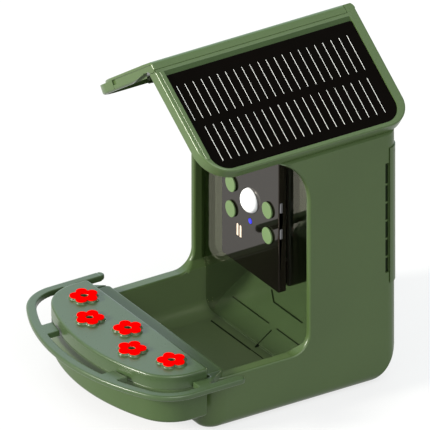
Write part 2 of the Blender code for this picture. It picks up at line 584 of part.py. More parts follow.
# ---------------------------------------------------------------- rear cover and mounting plate
cover_out = arc(COVER_CX, COVER_CY, COVER_R, math.degrees(math.asin((COVER_Y - COVER_CY) / COVER_R)), 90, 6)
cover_in = arc(COVER_CX, COVER_CY, COVER_R - COVER_T,
               math.degrees(math.asin((COVER_Y - COVER_CY) / (COVER_R - COVER_T))), 90, 5)
cover_plan = cover_out + [(-x, y) for x, y in reversed(cover_out)]
cover_plan += cover_in[:0] + [(-x, y) for x, y in cover_in] + list(reversed(cover_in))
cover = prism("rear_cover", cover_plan, COVER_Z0, COVER_Z1, "XY", green, origin=(0, BODY_BACK, 136), smooth=30)
lip = prism("cut_lip", [rounded(-46.5, 46.5, 91.5, 178.5, 2, 2), rounded(-44.6, 44.6, 93.4, 176.6, 1, 2)],
            107.0, BODY_BACK - 1.0, "XZ", coll=cutters)
cut(cover, lip, 'UNION')

PLATE_BACK = -RAIL_FRONT + RAIL_W / 2
plate = prism("mount_plate", rounded(-34, 34, 20, 74, 5, 4), BODY_BACK + GAP, PLATE_BACK, "XZ", black_plastic)
cut(plate, tool_box((-40, 40), (108, BODY_BACK + 6.0), (34, 62)))
for i, sx in enumerate((-1, 1)):
    cut(plate, tool_rod((sx * 24, 111, 26.5), (sx * 24, 126, 26.5), 2.2, 14))
    cut(plate, tool_rod((sx * 24, 119.6, 26.5), (sx * 24, 126, 26.5), 4.3, 18))
    scr = rod("plate_screw_%d" % (i + 1), (sx * 24, 120.0, 26.5), (sx * 24, 122.8, 26.5), 3.9, steel, n=18)
    cut(scr, tool_rod((sx * 24, 107.0, 26.5), (sx * 24, 121.0, 26.5), 1.6, 12), 'UNION')

# ---------------------------------------------------------------- nectar cup, lid, flowers, rail
CUP_ORIGIN = (0.0, -78.0, CUP_Z0)
cup = prism("nectar_cup", cup_outline(0.3), CUP_Z0, 50.1, "XY", green_nectar, origin=CUP_ORIGIN, smooth=30,
            bevel=[(lambda e: all(abs(v.co.z - CUP_Z0 * MM) < 1e-6 for v in e.verts), 2.0, 3)])
cut(cup, prism("cut_cup", cup_outline(0.3 + CUP_WALL, CUP_BACK + 0.0), CUP_Z0 + 2.4, 60.0, "XY", coll=cutters))
flange = [(-76.4, -36.8), (-76.4, -50.0), (-70.0, -52.2), (70.0, -52.2), (76.4, -50.0), (76.4, -36.8),
          (74.9, -35.3), (-74.9, -35.3)]
cut(cup, prism("cut_flange", flange, RIM_Z + 0.4, 47.1, "XY", coll=cutters), 'UNION')
cut(cup, tool_box((-60, 60), (-41.2, -38.6), (34.0, RIM_Z + 2)), 'UNION')

LID_ORIGIN = (0.0, -78.0, LID_Z0)
nlid = prism("nectar_lid", cup_outline(0.0), LID_Z0, LID_Z1, "XY", green_nectar, origin=LID_ORIGIN, smooth=30,
             bevel=[(lambda e: all(abs(v.co.z - LID_Z1 * MM) < 1e-6 for v in e.verts), 0.8, 2)])
skirt = prism("cut_skirt", [cup_outline(5.2), cup_outline(7.0)], 44.0, LID_Z0 + 1.5, "XY", coll=cutters)
cut(nlid, skirt, 'UNION')
for i, (fx, fy, turn) in enumerate(FLOWERS):
    cut(nlid, prism("cut_boss", flower_outline(fx, fy, turn, 6.2, 4.7), LID_Z1 - 1.0, BOSS_Z, "XY", coll=cutters), 'UNION')
for i, (fx, fy, turn) in enumerate(FLOWERS):
    cut(nlid, tool_rod((fx, fy, 40), (fx, fy, 60), FLOWER_HOLE, 14))
    prism("flower_%d" % (i + 1), [flower_outline(fx, fy, turn), circle(fx, fy, FLOWER_HOLE, 14)],
          PETAL_Z0, PETAL_Z1, "XY", red, origin=(fx, fy, PETAL_Z0))
prism("lid_seal", [cup_outline(3.1, n_arc=8, n_corner=6), cup_outline(4.8, n_arc=8, n_corner=6)], 46.0, 48.6, "XY",
      rubber, origin=LID_ORIGIN)


def rail_path():
    """Centre line of the perch rail: two straight arms and a bowed front."""
    cy = RAIL_FRONT + RAIL_ARC
    ccx = RAIL_X - RAIL_CORNER
    ccy = cy - math.sqrt((RAIL_ARC - RAIL_CORNER) ** 2 - ccx ** 2)
    join = math.degrees(math.atan2(ccy - cy, ccx))
    pts = [(RAIL_X, RAIL_END), (RAIL_X, -45.0)]
    pts += arc(ccx, ccy, RAIL_CORNER, 0, join, 9)
    pts += arc(0, cy, RAIL_ARC, join, -180 - join, 12)[1:-1]
    pts += arc(-ccx, ccy, RAIL_CORNER, -180 - join, -180, 9)
    pts += [(-RAIL_X, -45.0), (-RAIL_X, RAIL_END)]
    return pts


def offset_path(pts, d):
    """Path moved sideways by d, to the left of its direction."""
    out = []
    for i, (x, y) in enumerate(pts):
        ax, ay = pts[max(i - 1, 0)]
        bx, by = pts[min(i + 1, len(pts) - 1)]
        tx, ty = bx - ax, by - ay
        ln = math.hypot(tx, ty)
        out.append((x - ty / ln * d, y + tx / ln * d))
    return out


path = rail_path()
half = RAIL_W / 2
rail_plan = offset_path(path, -half)
rail_plan += arc(-RAIL_X, RAIL_END, half, 180, 0, 6)[1:-1]
rail_plan += list(reversed(offset_path(path, half)))
rail_plan += arc(RAIL_X, RAIL_END, half, 180, 0, 6)[1:-1]
rail = prism("perch_rail", rail_plan, RAIL_Z0, RAIL_Z1, "XY", green_nectar, origin=CUP_ORIGIN, smooth=40,
             bevel=[(lambda e: abs(e.verts[0].co.z - e.verts[1].co.z) < 1e-7, 0.9, 2)])
# front spokes and side webs, flush with the rail's top
for sx in (-1, 1):
    wall_y = -99.6
    spoke = [(sx * 36.0, wall_y - 2.9), (sx * 36.0, -117.4), (sx * 50.0, -113.4), (sx * 50.0, wall_y + 0.0)]
    cut(rail, prism("cut_spoke", spoke, 43.4, 47.2, "XY", coll=cutters), 'UNION')
    web = [(sx * (CUP_HALF_W + 0.3), -64.6), (sx * 94.0, -64.6), (sx * 94.0, -61.0), (sx * (CUP_HALF_W + 0.3), -44.6)]
    cut(rail, prism("cut_web", web, 43.4, 47.2, "XY", coll=cutters), 'UNION')
    ear = [(sx * 76.7, -49.6), (sx * 83.0, -49.6), (sx * 83.0, -45.8), (sx * 76.7, -37.0)]
    cut(rail, prism("cut_ear", ear, 43.4, 47.2, "XY", coll=cutters), 'UNION')
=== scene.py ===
import math

import bmesh
import bpy
from mathutils import Matrix, Vector


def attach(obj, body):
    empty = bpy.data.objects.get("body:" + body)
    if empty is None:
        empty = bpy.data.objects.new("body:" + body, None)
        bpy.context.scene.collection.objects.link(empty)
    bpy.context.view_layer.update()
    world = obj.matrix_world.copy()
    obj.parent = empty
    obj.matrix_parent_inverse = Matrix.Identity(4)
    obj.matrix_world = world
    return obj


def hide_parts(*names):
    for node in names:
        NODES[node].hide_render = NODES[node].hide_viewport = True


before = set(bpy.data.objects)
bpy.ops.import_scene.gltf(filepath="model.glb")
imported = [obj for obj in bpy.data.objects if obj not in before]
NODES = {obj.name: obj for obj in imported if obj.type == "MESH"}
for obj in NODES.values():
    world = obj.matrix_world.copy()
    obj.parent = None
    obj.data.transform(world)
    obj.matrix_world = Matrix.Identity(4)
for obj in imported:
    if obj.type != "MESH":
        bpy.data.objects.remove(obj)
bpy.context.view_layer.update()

MM = 0.001
GAP = 0.3

# ---------------------------------------------------------------- dimensions, millimetres, as in the frame
BODY_HALF_W, BODY_FRONT, BODY_BACK = 79.3, -50.2, 112.3
BODY_R_FRONT, BODY_R_BACK, BODY_R_BOTTOM, HEEL_R = 16.0, 11.0, 10.4, 20.0
FRONT_EDGE_SHARE = 0.35
SLOTS = [(87.5 if k == 0 else 85.9 + 14.6 * k, 175.9 if k == 5 else 99.1 + 14.6 * k) for k in range(6)]
CORNER_FOOT = 26.0                    # how far up the rear corners start to run in
FLOOR_Z, TRAY_HALF_W, TRAY_FRONT_IN, TRAY_R = 6.1, 69.5, -41.8, 11.4
HOPPER_HALF_W, BACK_IN, RIM_Z = 73.9, 105.8, 42.1
CUT_Y, CUT_R_LOW, CUT_R_TOP, CUT_TOP_Z = 35.7, 15.0, 39.3, 162.9
ROOF_PITCH = math.radians(34.5)
RIDGE_Z, ROOF_FRONT, ROOF_BACK, ROOF_S = 265.0, -49.0, 122.4, 100.7
ROOF_R = (25.0, 19.0)
ROOF_T, ROOF_LIP, ROOF_CEIL = 9.8, 3.4, 5.8
HINGE_DROP, HINGE_R, PIN_R = 3.0, 3.0, 1.0
PANEL_S0, PANEL_S1, PANEL_Y0, PANEL_Y1, PANEL_R, PANEL_POCKET = 13.3, 97.2, -42.4, 114.7, 14.0, 3.4
WIN_Y0, WIN_Y1 = 42.3, 44.9
BEZEL_Y0, BEZEL_Y1, BEZEL_HALF_W, BEZEL_Z0, BEZEL_Z1 = 35.9, 42.0, 37.9, 70.7, 196.0
DOME_Z, DOME_R, DOME_OUT, LENS_Z, LED_Z = 129.1, 9.4, 6.3, 178.0, 112.4
CAP_X, CAP_Z0, CAP_Z1, CAP_R = 24.3, 111.8, 132.2, 6.3
BAR_X, BAR_Z = (-17.1, -13.1), 98.0
BUTTON_Z = (118.0, 139.0)
RAIL_X, RAIL_W, RAIL_Z0, RAIL_Z1 = 93.55, 7.2, 43.1, 47.4
RAIL_ARC, RAIL_CORNER, RAIL_FRONT, RAIL_END = 159.25, 31.25, -120.25, -32.3
CUP_HALF_W, CUP_FRONT, CUP_ARC, CUP_CORNER, CUP_BACK = 81.0, -105.3, 161.0, 32.0, -50.6
CUP_Z0, CUP_WALL = 15.6, 2.4
LID_Z0, LID_Z1, BOSS_Z = 50.4, 53.9, 55.3
PETAL_Z0, PETAL_Z1 = 55.6, 56.4
FLOWERS = [(-58.0, -67.6, 237.5), (0.0, -67.6, 237.5), (58.0, -67.6, 237.5),
           (-28.0, -82.2, 57.5), (28.0, -82.2, 57.5)]
FLOWER_HOLE = 2.45
PORT_R = 2.95                         # feeding hole as seen, a little wider than the frame's
COVER_Z0, COVER_Z1, COVER_PROUD, COVER_T, COVER_Y = 79.0, 187.5, 0.9, 3.0, 103.6
COVER_CX, COVER_CY = BODY_HALF_W - BODY_R_BACK, BODY_BACK - BODY_R_BACK
COVER_R = BODY_R_BACK + COVER_PROUD

looks = bpy.data.collections.new("looks")
bpy.context.scene.collection.children.link(looks)
FRAMES = {
    "XY": Matrix(((1, 0, 0), (0, 1, 0), (0, 0, 1))),
    "XZ": Matrix(((1, 0, 0), (0, 0, -1), (0, 1, 0))),
    "YZ": Matrix(((0, 0, 1), (1, 0, 0), (0, 1, 0))),
}
STEP_DEG, STEP_MM = 5.0, 2.2


# ---------------------------------------------------------------- mesh helpers
def arc(cx, cy, r, a0, a1, n=0):
    """Points on an arc, close enough together to look round."""
    n = max(n, int(math.ceil(abs(a1 - a0) / STEP_DEG)), int(math.ceil(abs(math.radians(a1 - a0)) * r / STEP_MM / 2)), 2)
    return [(cx + r * math.cos(math.radians(a0 + (a1 - a0) * i / n)),
             cy + r * math.sin(math.radians(a0 + (a1 - a0) * i / n))) for i in range(n + 1)]


def rounded(x0, x1, y0, y1, r, n=0):
    rr = r if isinstance(r, (tuple, list)) else (r, r, r, r)
    out = []
    for (cx, cy, sx, sy, rad, a) in ((x0, y0, 1, 1, rr[0], 180), (x1, y0, -1, 1, rr[1], 270),
                                     (x1, y1, -1, -1, rr[2], 0), (x0, y1, 1, -1, rr[3], 90)):
        if rad <= 0:
            out.append((cx, cy))
        else:
            out += arc(cx + sx * rad, cy + sy * rad, rad, a, a + 90, n)
    return out


def circle(cx, cy, r, n=48):
    return [(cx + r * math.cos(2 * math.pi * i / n), cy + r * math.sin(2 * math.pi * i / n)) for i in range(n)]


def outline_bm(loops, half):
    """Flat outline with holes, filled and extruded both ways."""
    cu = bpy.data.curves.new("outline", 'CURVE')
    cu.dimensions = '2D'
    cu.fill_mode = 'BOTH'
    cu.extrude = half * MM
    for pts in loops:
        sp = cu.splines.new('POLY')
        sp.points.add(len(pts) - 1)
        for p, (x, y) in zip(sp.points, pts):
            p.co = (x * MM, y * MM, 0.0, 1.0)
        sp.use_cyclic_u = True
    ob = bpy.data.objects.new("outline", cu)
    bpy.context.scene.collection.objects.link(ob)
    bpy.context.view_layer.update()
    me = bpy.data.meshes.new_from_object(ob.evaluated_get(bpy.context.evaluated_depsgraph_get()))
    bpy.data.objects.remove(ob, do_unlink=True)
    bm = bmesh.new()
    bm.from_mesh(me)
    bmesh.ops.remove_doubles(bm, verts=bm.verts, dist=1e-6)
    bmesh.ops.dissolve_limit(bm, angle_limit=math.radians(0.3), verts=bm.verts, edges=bm.edges)
    bmesh.ops.recalc_face_normals(bm, faces=bm.faces)
    bpy.data.meshes.remove(me)
    return bm


def to_object(name, bm, mat=None):
    me = bpy.data.meshes.new(name)
    bmesh.ops.recalc_face_normals(bm, faces=bm.faces)
    bm.to_mesh(me)
    bm.free()
    ob = bpy.data.objects.new(name, me)
    looks.objects.link(ob)
    if mat is not None:
        me.materials.append(mat)
    return ob


def prism(name, loops, lo, hi, frame_name="XY", bevel=()):
    """Outline(s) extruded from lo to hi along the frame's third axis; bevel rounds chosen edges first."""
    if isinstance(loops[0], tuple) and isinstance(loops[0][0], (int, float)):
        loops = [loops]
    bm = outline_bm(loops, (hi - lo) / 2.0)
    mid = (hi + lo) / 2.0
    shift = -mid if frame_name == "XZ" else mid
    bmesh.ops.translate(bm, verts=bm.verts, vec=Vector((0, 0, shift)) * MM)
    for pick, width, segs in bevel:
        bmesh.ops.bevel(bm, geom=[e for e in bm.edges if pick(e)], offset=width * MM, segments=segs, profile=0.5,
                        affect='EDGES', clamp_overlap=False)
    bmesh.ops.transform(bm, matrix=FRAMES[frame_name].to_4x4(), verts=bm.verts)
    return to_object(name, bm)


def flat_edge(e):
    return abs(e.verts[0].co.z - e.verts[1].co.z) < 1e-7


def box(name, x, y, z, bevel=0.0, segs=3):
    bm = bmesh.new()
    bmesh.ops.create_cube(bm, size=1.0)
    bmesh.ops.scale(bm, vec=Vector((x[1] - x[0], y[1] - y[0], z[1] - z[0])) * MM, verts=bm.verts)
    bmesh.ops.translate(bm, vec=Vector(((x[0] + x[1]) / 2, (y[0] + y[1]) / 2, (z[0] + z[1]) / 2)) * MM,
                        verts=bm.verts)
    if bevel:
        bmesh.ops.bevel(bm, geom=list(bm.edges), offset=bevel * MM, segments=segs, profile=0.5,
                        affect='EDGES', clamp_overlap=True)
    return to_object(name, bm)


def rod(name, p0, p1, r, n=48, r2=None, bevel=0.0, segs=3):
    a, b = Vector(p0) * MM, Vector(p1) * MM
    d = b - a
    bm = bmesh.new()
    bmesh.ops.create_cone(bm, cap_ends=True, segments=n, radius1=r * MM, radius2=(r2 if r2 is not None else r) * MM,
                          depth=d.length)
    if bevel:
        rims = [e for e in bm.edges if flat_edge(e)]
        bmesh.ops.bevel(bm, geom=rims, offset=bevel * MM, segments=segs, profile=0.5, affect='EDGES',
                        clamp_overlap=False)
    rot = Vector((0, 0, 1)).rotation_difference(d.normalized()).to_matrix().to_4x4()
    bmesh.ops.transform(bm, matrix=Matrix.Translation((a + b) / 2) @ rot, verts=bm.verts)
    return to_object(name, bm)


def turned(name, profile, at, steps=64):
    """Closed profile of (radius, outward) pairs, spun about an axis along -Y."""
    bm = bmesh.new()
    rings = []
    for r, h in profile:
        if r <= 1e-9:
            rings.append([bm.verts.new((at[0] * MM, (at[1] - h) * MM, at[2] * MM))])
        else:
            rings.append([bm.verts.new(((at[0] + r * math.cos(2 * math.pi * i / steps)) * MM, (at[1] - h) * MM,
                                        (at[2] + r * math.sin(2 * math.pi * i / steps)) * MM)) for i in range(steps)])
    for a, b in zip(rings, rings[1:]):
        for i in range(steps):
            j = (i + 1) % steps
            if len(a) == 1 and len(b) > 1:
                bm.faces.new((a[0], b[i], b[j]))
            elif len(b) == 1 and len(a) > 1:
                bm.faces.new((a[i], b[0], a[j]))
            elif len(a) > 1 and len(b) > 1:
                bm.faces.new((a[i], b[i], b[j], a[j]))
    return to_object(name, bm)


def cut(ob, tool, op='DIFFERENCE'):
    """One boolean step, applied at once; the tool is used up."""
    m = ob.modifiers.new("step", 'BOOLEAN')
    m.operation = op
    m.object = tool
    m.solver = 'EXACT'
    bpy.context.view_layer.update()
    me = bpy.data.meshes.new_from_object(ob.evaluated_get(bpy.context.evaluated_depsgraph_get()))
    ob.modifiers.clear()
    old = ob.data
    ob.data = me
    bpy.data.meshes.remove(old)
    bpy.data.objects.remove(tool, do_unlink=True)
    return ob


def apply_mods(ob):
    bpy.context.view_layer.update()
    me = bpy.data.meshes.new_from_object(ob.evaluated_get(bpy.context.evaluated_depsgraph_get()))
    ob.modifiers.clear()
    old = ob.data
    ob.data = me
    bpy.data.meshes.remove(old)
    return ob


def round_edges(ob, rules, lowest=30.0):
    """Rounds the edges that a rule picks, where the faces really turn."""
    bm = bmesh.new()
    bm.from_mesh(ob.data)
    bmesh.ops.remove_doubles(bm, verts=bm.verts, dist=2e-6)
    bmesh.ops.dissolve_limit(bm, angle_limit=math.radians(0.2), verts=bm.verts, edges=bm.edges)
    for pick, width, segs in rules:
        bm.faces.ensure_lookup_table()
        chosen = [e for e in bm.edges if len(e.link_faces) == 2
                  and abs(e.calc_face_angle(0.0)) > math.radians(lowest) and pick(e)]
        if chosen:
            bmesh.ops.bevel(bm, geom=chosen, offset=width * MM, segments=segs, profile=0.5, affect='EDGES',
                            clamp_overlap=False, loop_slide=True)
    bmesh.ops.remove_doubles(bm, verts=bm.verts, dist=1e-6)
    bm.to_mesh(ob.data)
    bm.free()
    return ob


def shade(ob, angle=38.0, weighted=True):
    ob.data.shade_smooth()
    ob.data.set_sharp_from_angle(angle=math.radians(angle))
    if weighted:
        w = ob.modifiers.new("normals", 'WEIGHTED_NORMAL')
        w.keep_sharp = True
        w.weight = 80
    return ob


def moulded(ob, voxel, passes, factor=0.5):
    """Even skin over a built-up solid, with every edge and inside corner softly rounded."""
    r = ob.modifiers.new("skin", 'REMESH')
    r.mode = 'VOXEL'
    r.voxel_size = voxel * MM
    r.adaptivity = 0.0
    if passes:
        s = ob.modifiers.new("soft", 'SMOOTH')
        s.factor = factor
        s.iterations = passes
    apply_mods(ob)
    ob.data.shade_smooth()
    return ob


def wear(ob, mat, body, *nodes):
    ob.data.materials.clear()
    ob.data.materials.append(mat)
    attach(ob, body)
    if nodes:
        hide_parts(*nodes)
    return ob


# ---------------------------------------------------------------- material helpers
def new_material(name):
    m = bpy.data.materials.new(name)
    m.use_nodes = True
    return m, m.node_tree, m.node_tree.nodes["Principled BSDF"]


def noise(nt, scale, detail=2.0, rough=0.5, coords="Object"):
    tc = nt.nodes.new("ShaderNodeTexCoord")
    n = nt.nodes.new("ShaderNodeTexNoise")
    n.inputs["Scale"].default_value = scale
    n.inputs["Detail"].default_value = detail
    n.inputs["Roughness"].default_value = rough
    nt.links.new(tc.outputs[coords], n.inputs["Vector"])
    return n.outputs["Fac"]


def map_range(nt, value, a, b, lo, hi):
    n = nt.nodes.new("ShaderNodeMapRange")
    n.inputs["From Min"].default_value = a
    n.inputs["From Max"].default_value = b
    n.inputs["To Min"].default_value = lo
    n.inputs["To Max"].default_value = hi
    nt.links.new(value, n.inputs["Value"])
    return n.outputs["Result"]


def blend_colour(nt, factor, a, b):
    n = nt.nodes.new("ShaderNodeMix")
    n.data_type = 'RGBA'
    nt.links.new(factor, n.inputs["Factor"])
    for sock, v in ((n.inputs["A"], a), (n.inputs["B"], b)):
        pass
    ia, ib = [s for s in n.inputs if s.type == 'RGBA'][:2]
    for sock, v in ((ia, a), (ib, b)):
        if isinstance(v, (tuple, list)):
            sock.default_value = (v[0], v[1], v[2], 1.0)
        else:
            nt.links.new(v, sock)
    return [s for s in n.outputs if s.type == 'RGBA'][0]


def tone(c, k):
    return tuple(max(0.0, v * k) for v in c)


def plastic(name, base, rough=0.36, vary=0.05, grain=700.0, bump=0.10, spec=0.5, coat=0.0, depth=0.00006):
    """Moulded plastic: slow drift of tone, fine grain in colour, roughness and relief."""
    m, nt, b = new_material(name)
    slow = map_range(nt, noise(nt, 14.0, 3.0), 0.3, 0.7, 0.0, 1.0)
    fine = noise(nt, grain, 3.0, 0.6)
    body = blend_colour(nt, slow, tone(base, 1.0 - vary), tone(base, 1.0 + vary))
    speck = map_range(nt, fine, 0.3, 0.7, 0.0, 1.0)
    dark = nt.nodes.new("ShaderNodeMix")
    dark.data_type = 'RGBA'
    dark.blend_type = 'MULTIPLY'
    dark.inputs["Factor"].default_value = 1.0
    ins = [s for s in dark.inputs if s.type == 'RGBA']
    nt.links.new(body, ins[0])
    nt.links.new(blend_colour(nt, speck, (0.965, 0.965, 0.965), (1.03, 1.03, 1.03)), ins[1])
    nt.links.new([s for s in dark.outputs if s.type == 'RGBA'][0], b.inputs["Base Color"])
    nt.links.new(map_range(nt, fine, 0.25, 0.75, rough - 0.035, rough + 0.045), b.inputs["Roughness"])
    bp = nt.nodes.new("ShaderNodeBump")
    bp.inputs["Strength"].default_value = bump
    bp.inputs["Distance"].default_value = depth
    nt.links.new(fine, bp.inputs["Height"])
    nt.links.new(bp.outputs["Normal"], b.inputs["Normal"])
    b.inputs["Specular IOR Level"].default_value = spec
    b.inputs["Coat Weight"].default_value = coat
    b.inputs["Coat Roughness"].default_value = 0.12
    return m


def gloss(name, base, rough=0.03, spec=0.5, smudge=0.03, scale=60.0):
    """Polished black or lens surface with faint handling marks in its roughness."""
    m, nt, b = new_material(name)
    marks = noise(nt, scale, 5.0, 0.65)
    nt.links.new(map_range(nt, marks, 0.35, 0.75, rough, rough + smudge), b.inputs["Roughness"])
    nt.links.new(blend_colour(nt, map_range(nt, marks, 0.3, 0.7, 0.0, 1.0), tone(base, 0.9), tone(base, 1.1)),
                 b.inputs["Base Color"])
    b.inputs["Specular IOR Level"].default_value = spec
    return m


def metal(name, base, rough=0.3):
    m, nt, b = new_material(name)
    f = noise(nt, 900.0, 3.0)
    nt.links.new(blend_colour(nt, f, tone(base, 0.85), tone(base, 1.1)), b.inputs["Base Color"])
    nt.links.new(map_range(nt, f, 0.3, 0.7, rough - 0.06, rough + 0.08), b.inputs["Roughness"])
    b.inputs["Metallic"].default_value = 1.0
    return m


def glow(name, base, colour, power, rough=0.3):
    m, nt, b = new_material(name)
    f = noise(nt, 500.0, 2.0)
    nt.links.new(blend_colour(nt, f, tone(base, 0.93), tone(base, 1.07)), b.inputs["Base Color"])
    nt.links.new(map_range(nt, f, 0.3, 0.7, rough - 0.05, rough + 0.05), b.inputs["Roughness"])
    b.inputs["Emission Color"].default_value = (colour[0], colour[1], colour[2], 1.0)
    b.inputs["Emission Strength"].default_value = power
    return m


GREEN = (0.0300, 0.0500, 0.0150)
green_body = plastic("green_body", GREEN, 0.33, spec=0.30)
green_roof = plastic("green_roof", (0.0370, 0.0620, 0.0190), 0.30, spec=0.34)
green_cup = plastic("green_cup", (0.0265, 0.0450, 0.0175), 0.30, spec=0.34)
green_wall = plastic("green_wall", (0.0285, 0.0475, 0.0170), 0.36, spec=0.20)
green_cap = plastic("green_cap", (0.066, 0.108, 0.042), 0.55, grain=1500.0, bump=0.2, spec=0.3)
# painted light: the seed ramp's green carries a faint glow, standing in for light reaching it inside the hopper
green_ramp_painted_glow = plastic("green_ramp_painted_glow", (0.046, 0.064, 0.032), 0.6, vary=0.14, grain=420.0, bump=0.3, spec=0.1)
green_ramp_painted_glow.node_tree.nodes["Principled BSDF"].inputs["Emission Color"].default_value = (0.052, 0.072, 0.036, 1.0)
green_ramp_painted_glow.node_tree.nodes["Principled BSDF"].inputs["Emission Strength"].default_value = 0.50
# painted shade: near-black green for the backs of the side slots, the feeding holes and the fine lines on the seed ramp
painted_shade_black = plastic("painted_shade_black", (0.0045, 0.0080, 0.0032), 0.6, vary=0.1, grain=900.0, spec=0.05)
# painted shade: a darker, duller green for the strip beside the solar panel
green_painted_shade = plastic("green_painted_shade", (0.0200, 0.0360, 0.0110), 0.5, vary=0.1, grain=900.0, spec=0.1)
# painted light: the body green with a faint glow, for the seed floor and the tray's far side
green_floor_painted_bounce = plastic("green_floor_painted_bounce", GREEN, 0.33, spec=0.30)
green_floor_painted_bounce.node_tree.nodes["Principled BSDF"].inputs["Emission Color"].default_value = (0.034, 0.040, 0.026, 1.0)
green_floor_painted_bounce.node_tree.nodes["Principled BSDF"].inputs["Emission Strength"].default_value = 0.50
petal_red = plastic("petal_red", (0.52, 0.0, 0.0), 0.8, vary=0.03, grain=1500.0, bump=0.12, spec=0.0)
bezel_black = gloss("bezel_black", (0.0022, 0.0018, 0.0014), 0.025, spec=0.42)
case_black = plastic("case_black", (0.004, 0.004, 0.004), 0.32, vary=0.2, grain=900.0)
soft_black = plastic("soft_black", (0.011, 0.011, 0.012), 0.48, vary=0.15, grain=800.0)
panel_black = gloss("panel_black", (0.0014, 0.0010, 0.0007), 0.10, spec=0.02, smudge=0.05, scale=35.0)
cells_dark = gloss("cells_dark", (0.006, 0.006, 0.009), 0.25, spec=0.3)
bus_pale = plastic("bus_pale", (0.52, 0.52, 0.50), 0.45, vary=0.03, grain=1200.0, bump=0.1, spec=0.3)
dome_white = plastic("dome_white", (0.62, 0.63, 0.65), 0.28, vary=0.015, grain=1400.0, bump=0.05)
led_blue = glow("led_blue", (0.004, 0.004, 0.25), (0.01, 0.01, 1.0), 0.55)
bezel_black.node_tree.nodes["Principled BSDF"].inputs["Specular Tint"].default_value = (1.0, 0.86, 0.72, 1.0)
bar_cream = glow("bar_cream", (0.40, 0.32, 0.25), (1.0, 0.80, 0.62), 0.25)
key_grey = plastic("key_grey", (0.075, 0.075, 0.085), 0.45, grain=1300.0)
steel = metal("steel", (0.56, 0.57, 0.58))
brass = metal("brass", (0.72, 0.52, 0.23))
rubber = plastic("rubber", (0.014, 0.014, 0.014), 0.75, vary=0.15, grain=900.0, bump=0.3)
board = plastic("board", (0.015, 0.095, 0.045), 0.4, vary=0.2, grain=500.0)
wrap_blue = plastic("wrap_blue", (0.045, 0.095, 0.33), 0.35, vary=0.08, grain=400.0)


def clear_material():
    """Thin clear sheet: what is behind shows through a faint smoke tint, and both faces shine by Fresnel."""
    m = bpy.data.materials.new("window_clear")
    m.use_nodes = True
    nt = m.node_tree
    nt.nodes.remove(nt.nodes["Principled BSDF"])
    out = nt.nodes["Material Output"]
    through = nt.nodes.new("ShaderNodeBsdfTransparent")
    through.inputs["Color"].default_value = (0.80, 0.84, 0.78, 1.0)
    shine = nt.nodes.new("ShaderNodeBsdfGlossy")
    shine.inputs["Color"].default_value = (0.96, 0.93, 0.74, 1.0)
    marks = noise(nt, 45.0, 5.0, 0.6)
    nt.links.new(map_range(nt, marks, 0.4, 0.8, 0.015, 0.06), shine.inputs["Roughness"])
    facing = nt.nodes.new("ShaderNodeLayerWeight")
    facing.inputs["Blend"].default_value = 0.5
    power = nt.nodes.new("ShaderNodeMath")
    power.operation = 'POWER'
    power.inputs[1].default_value = 5.0
    nt.links.new(facing.outputs["Facing"], power.inputs[0])
    mix = nt.nodes.new("ShaderNodeMixShader")
    nt.links.new(map_range(nt, power.outputs["Value"], 0.0, 1.0, 0.052, 0.80), mix.inputs["Fac"])
    nt.links.new(through.outputs["BSDF"], mix.inputs[1])
    nt.links.new(shine.outputs["BSDF"], mix.inputs[2])
    nt.links.new(mix.outputs["Shader"], out.inputs["Surface"])
    return m


window_clear = clear_material()


# ---------------------------------------------------------------- shared outlines
def roof_z(x, drop):
    return RIDGE_Z - math.tan(ROOF_PITCH) * abs(x) - drop / math.cos(ROOF_PITCH)


def cup_outline(inset=0.0, back=CUP_BACK, r_back=0.0, n_arc=60, n_corner=24):
    """Half-moon plan: straight back, rounded front corners, one large front arc."""
    half = CUP_HALF_W - inset
    big = CUP_ARC - inset
    cr = CUP_CORNER - inset
    cy = CUP_FRONT + CUP_ARC
    ccx = half - cr
    ccy = cy - math.sqrt((big - cr) ** 2 - ccx ** 2)
    join = math.degrees(math.atan2(ccy - cy, ccx))
    pts = arc(half - r_back, back - inset - r_back, r_back, 90, 0) if r_back else [(half, back - inset)]
    pts += arc(ccx, ccy, cr, 0, join, n_corner)
    pts += arc(0, cy, big, join, -180 - join, n_arc)[1:-1]
    pts += arc(-ccx, ccy, cr, -180 - join, -180, n_corner)
    pts += arc(-half + r_back, back - inset - r_back, r_back, 180, 90) if r_back else [(-half, back - inset)]
    return pts


def flower_outline(cx, cy, turn, d=6.2, r=4.0, per=22):
    out = []
    for k in range(5):
        for i in range(per):
            phi = math.radians(-36 + 72 * i / per)
            rad = d * math.cos(phi) + math.sqrt(max(r * r - (d * math.sin(phi)) ** 2, 0.0))
            a = math.radians(turn + 72 * k) + phi
            out.append((cx + rad * math.cos(a), cy + rad * math.sin(a)))
    return out


